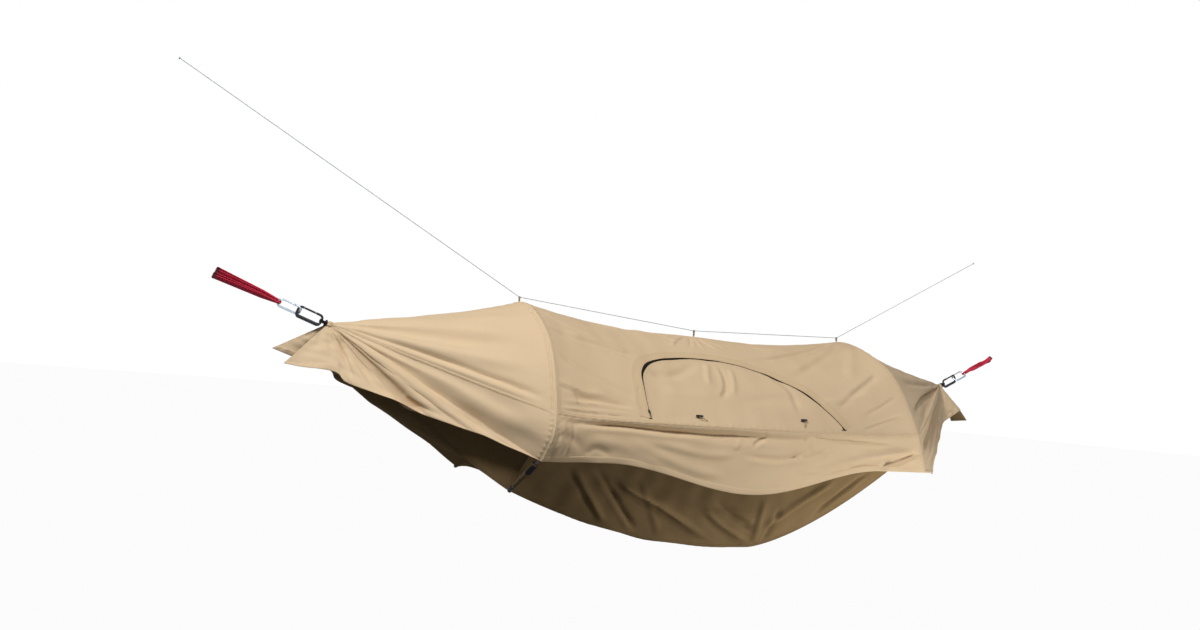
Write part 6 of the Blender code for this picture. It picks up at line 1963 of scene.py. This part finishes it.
def make_ridge_loops():
    """Three tan loops on the ridge, each a small strap closed round the cord."""
    middle_top = (HEAD_HOOP[0][2] + FOOT_HOOP[0][2]) / 2 - RIDGE_SAG
    tops = {"head": HEAD_HOOP[0][2], "middle": middle_top + LOOP_PULL, "foot": FOOT_HOOP[0][2]}
    for name, place in RIDGE_LOOPS.items():
        radius = LOOP_HALF_GAP + LOOP_THICKNESS / 2
        top = place[2] + RIDGE_LINE_RADIUS - LOOP_HALF_GAP / 2
        low = tops[name] + CANVAS / 2 + LOOP_THICKNESS / 2 + 0.0016
        flat = np.vstack([arc((0.0, top), radius, 0, 180, 19),
                          arc((0.0, low + 0.001), radius * 0.5, 180, 360, 15)])
        ring = np.column_stack([np.full(len(flat), place[0]), flat])
        ring = even_spacing(np.vstack([ring, ring[:1]]), 61)[:-1]
        _, across, over = axes_along(ring, True, (1.0, 0.0, 0.0))
        shells = [carried(ring, over, across, outline_strap(LOOP_WIDTH, LOOP_THICKNESS), closed=True)]
        shell_piece(f"ridge_strap_{name}", shells, "tan_webbing", "hammock", [f"ridge_loop_{name}"])


def set_stage():
    """A pale floor, a white world for the camera and for gloss, and soft lamps."""
    scene = bpy.context.scene
    scene.view_settings.view_transform = "Standard"
    world = bpy.data.worlds.new("white_room")
    world.use_nodes = True
    scene.world = world
    tree = world.node_tree
    tree.nodes.clear()
    seen = white_share(tree)
    plain = node(tree, "ShaderNodeBackground", None, {"Color": rgba(1.0, 0.98, 0.95), "Strength": 0.1})
    white = node(tree, "ShaderNodeBackground", None, {"Color": rgba(1, 1, 1), "Strength": 1.0})
    both = node(tree, "ShaderNodeMixShader", None, {0: seen, 1: plain.outputs[0], 2: white.outputs[0]})
    node(tree, "ShaderNodeOutputWorld", None, {"Surface": both.outputs[0]})
    made = bpy.data.materials.new("pale_floor")
    made.use_nodes = True
    tree = made.node_tree
    tree.nodes.clear()
    matt = node(tree, "ShaderNodeBsdfDiffuse", None, {"Color": rgba(0.13, 0.13, 0.127)})
    glow = node(tree, "ShaderNodeEmission", None, {"Color": rgba(1, 1, 1), "Strength": 1.0})
    share = maths(tree, "MULTIPLY", white_share(tree), 0.97)
    both = node(tree, "ShaderNodeMixShader", None, {0: share, 1: matt.outputs[0], 2: glow.outputs[0]})
    node(tree, "ShaderNodeOutputMaterial", None, {"Surface": both.outputs[0]})
    reach = 60.0
    mesh = bpy.data.meshes.new("floor")
    corners = [(x * reach, y * reach, FLOOR_HEIGHT) for x, y in ((-1, -1), (1, -1), (1, 1), (-1, 1))]
    mesh.from_pydata(corners, [], [(0, 1, 2, 3)])
    mesh.materials.append(made)
    floor = bpy.data.objects.new("floor", mesh)
    scene.collection.objects.link(floor)
    for name, place, size, power, colour in (
        ("key_softbox", (-2.2, -2.6, 3.6), 1.3, 262.0, (1.0, 0.985, 0.97)),
        ("top_softbox", (2.1, -2.5, 2.4), 1.4, 45.0, (1.0, 0.99, 0.98)),
        ("low_fill", (3.185, -1.2, -1.437), 0.6, 20.0, (1.0, 0.98, 0.94)),
    ):
        lamp = bpy.data.lights.new(name, "AREA")
        lamp.shape = "DISK"
        lamp.size = size
        lamp.energy = power
        lamp.color = colour
        made = bpy.data.objects.new(name, lamp)
        made.visible_camera = False
        scene.collection.objects.link(made)
        target = np.array((2.0, 0.0, -0.3))
        back = unit(np.array(place) - target)
        side = unit(np.cross((0.0, 0.0, 1.0), back))
        turn = np.eye(4)
        turn[:3, 0], turn[:3, 1], turn[:3, 2] = side, np.cross(back, side), back
        turn[:3, 3] = place
        made.matrix_world = Matrix(turn.tolist())


def white_share(tree):
    """1 for rays from the camera, off gloss and through glass, else 0."""
    path = node(tree, "ShaderNodeLightPath").outputs
    rays = maths(tree, "ADD", path["Is Camera Ray"], path["Is Glossy Ray"])
    rays = maths(tree, "ADD", rays, path["Is Transmission Ray"])
    return maths(tree, "MINIMUM", rays, 1.0)


aim_camera()
make_ridge_line()
set_stage()
make_canopy()
make_slider()
make_toggles()
make_bed()
make_hoops()
make_chains()
make_ridge_loops()
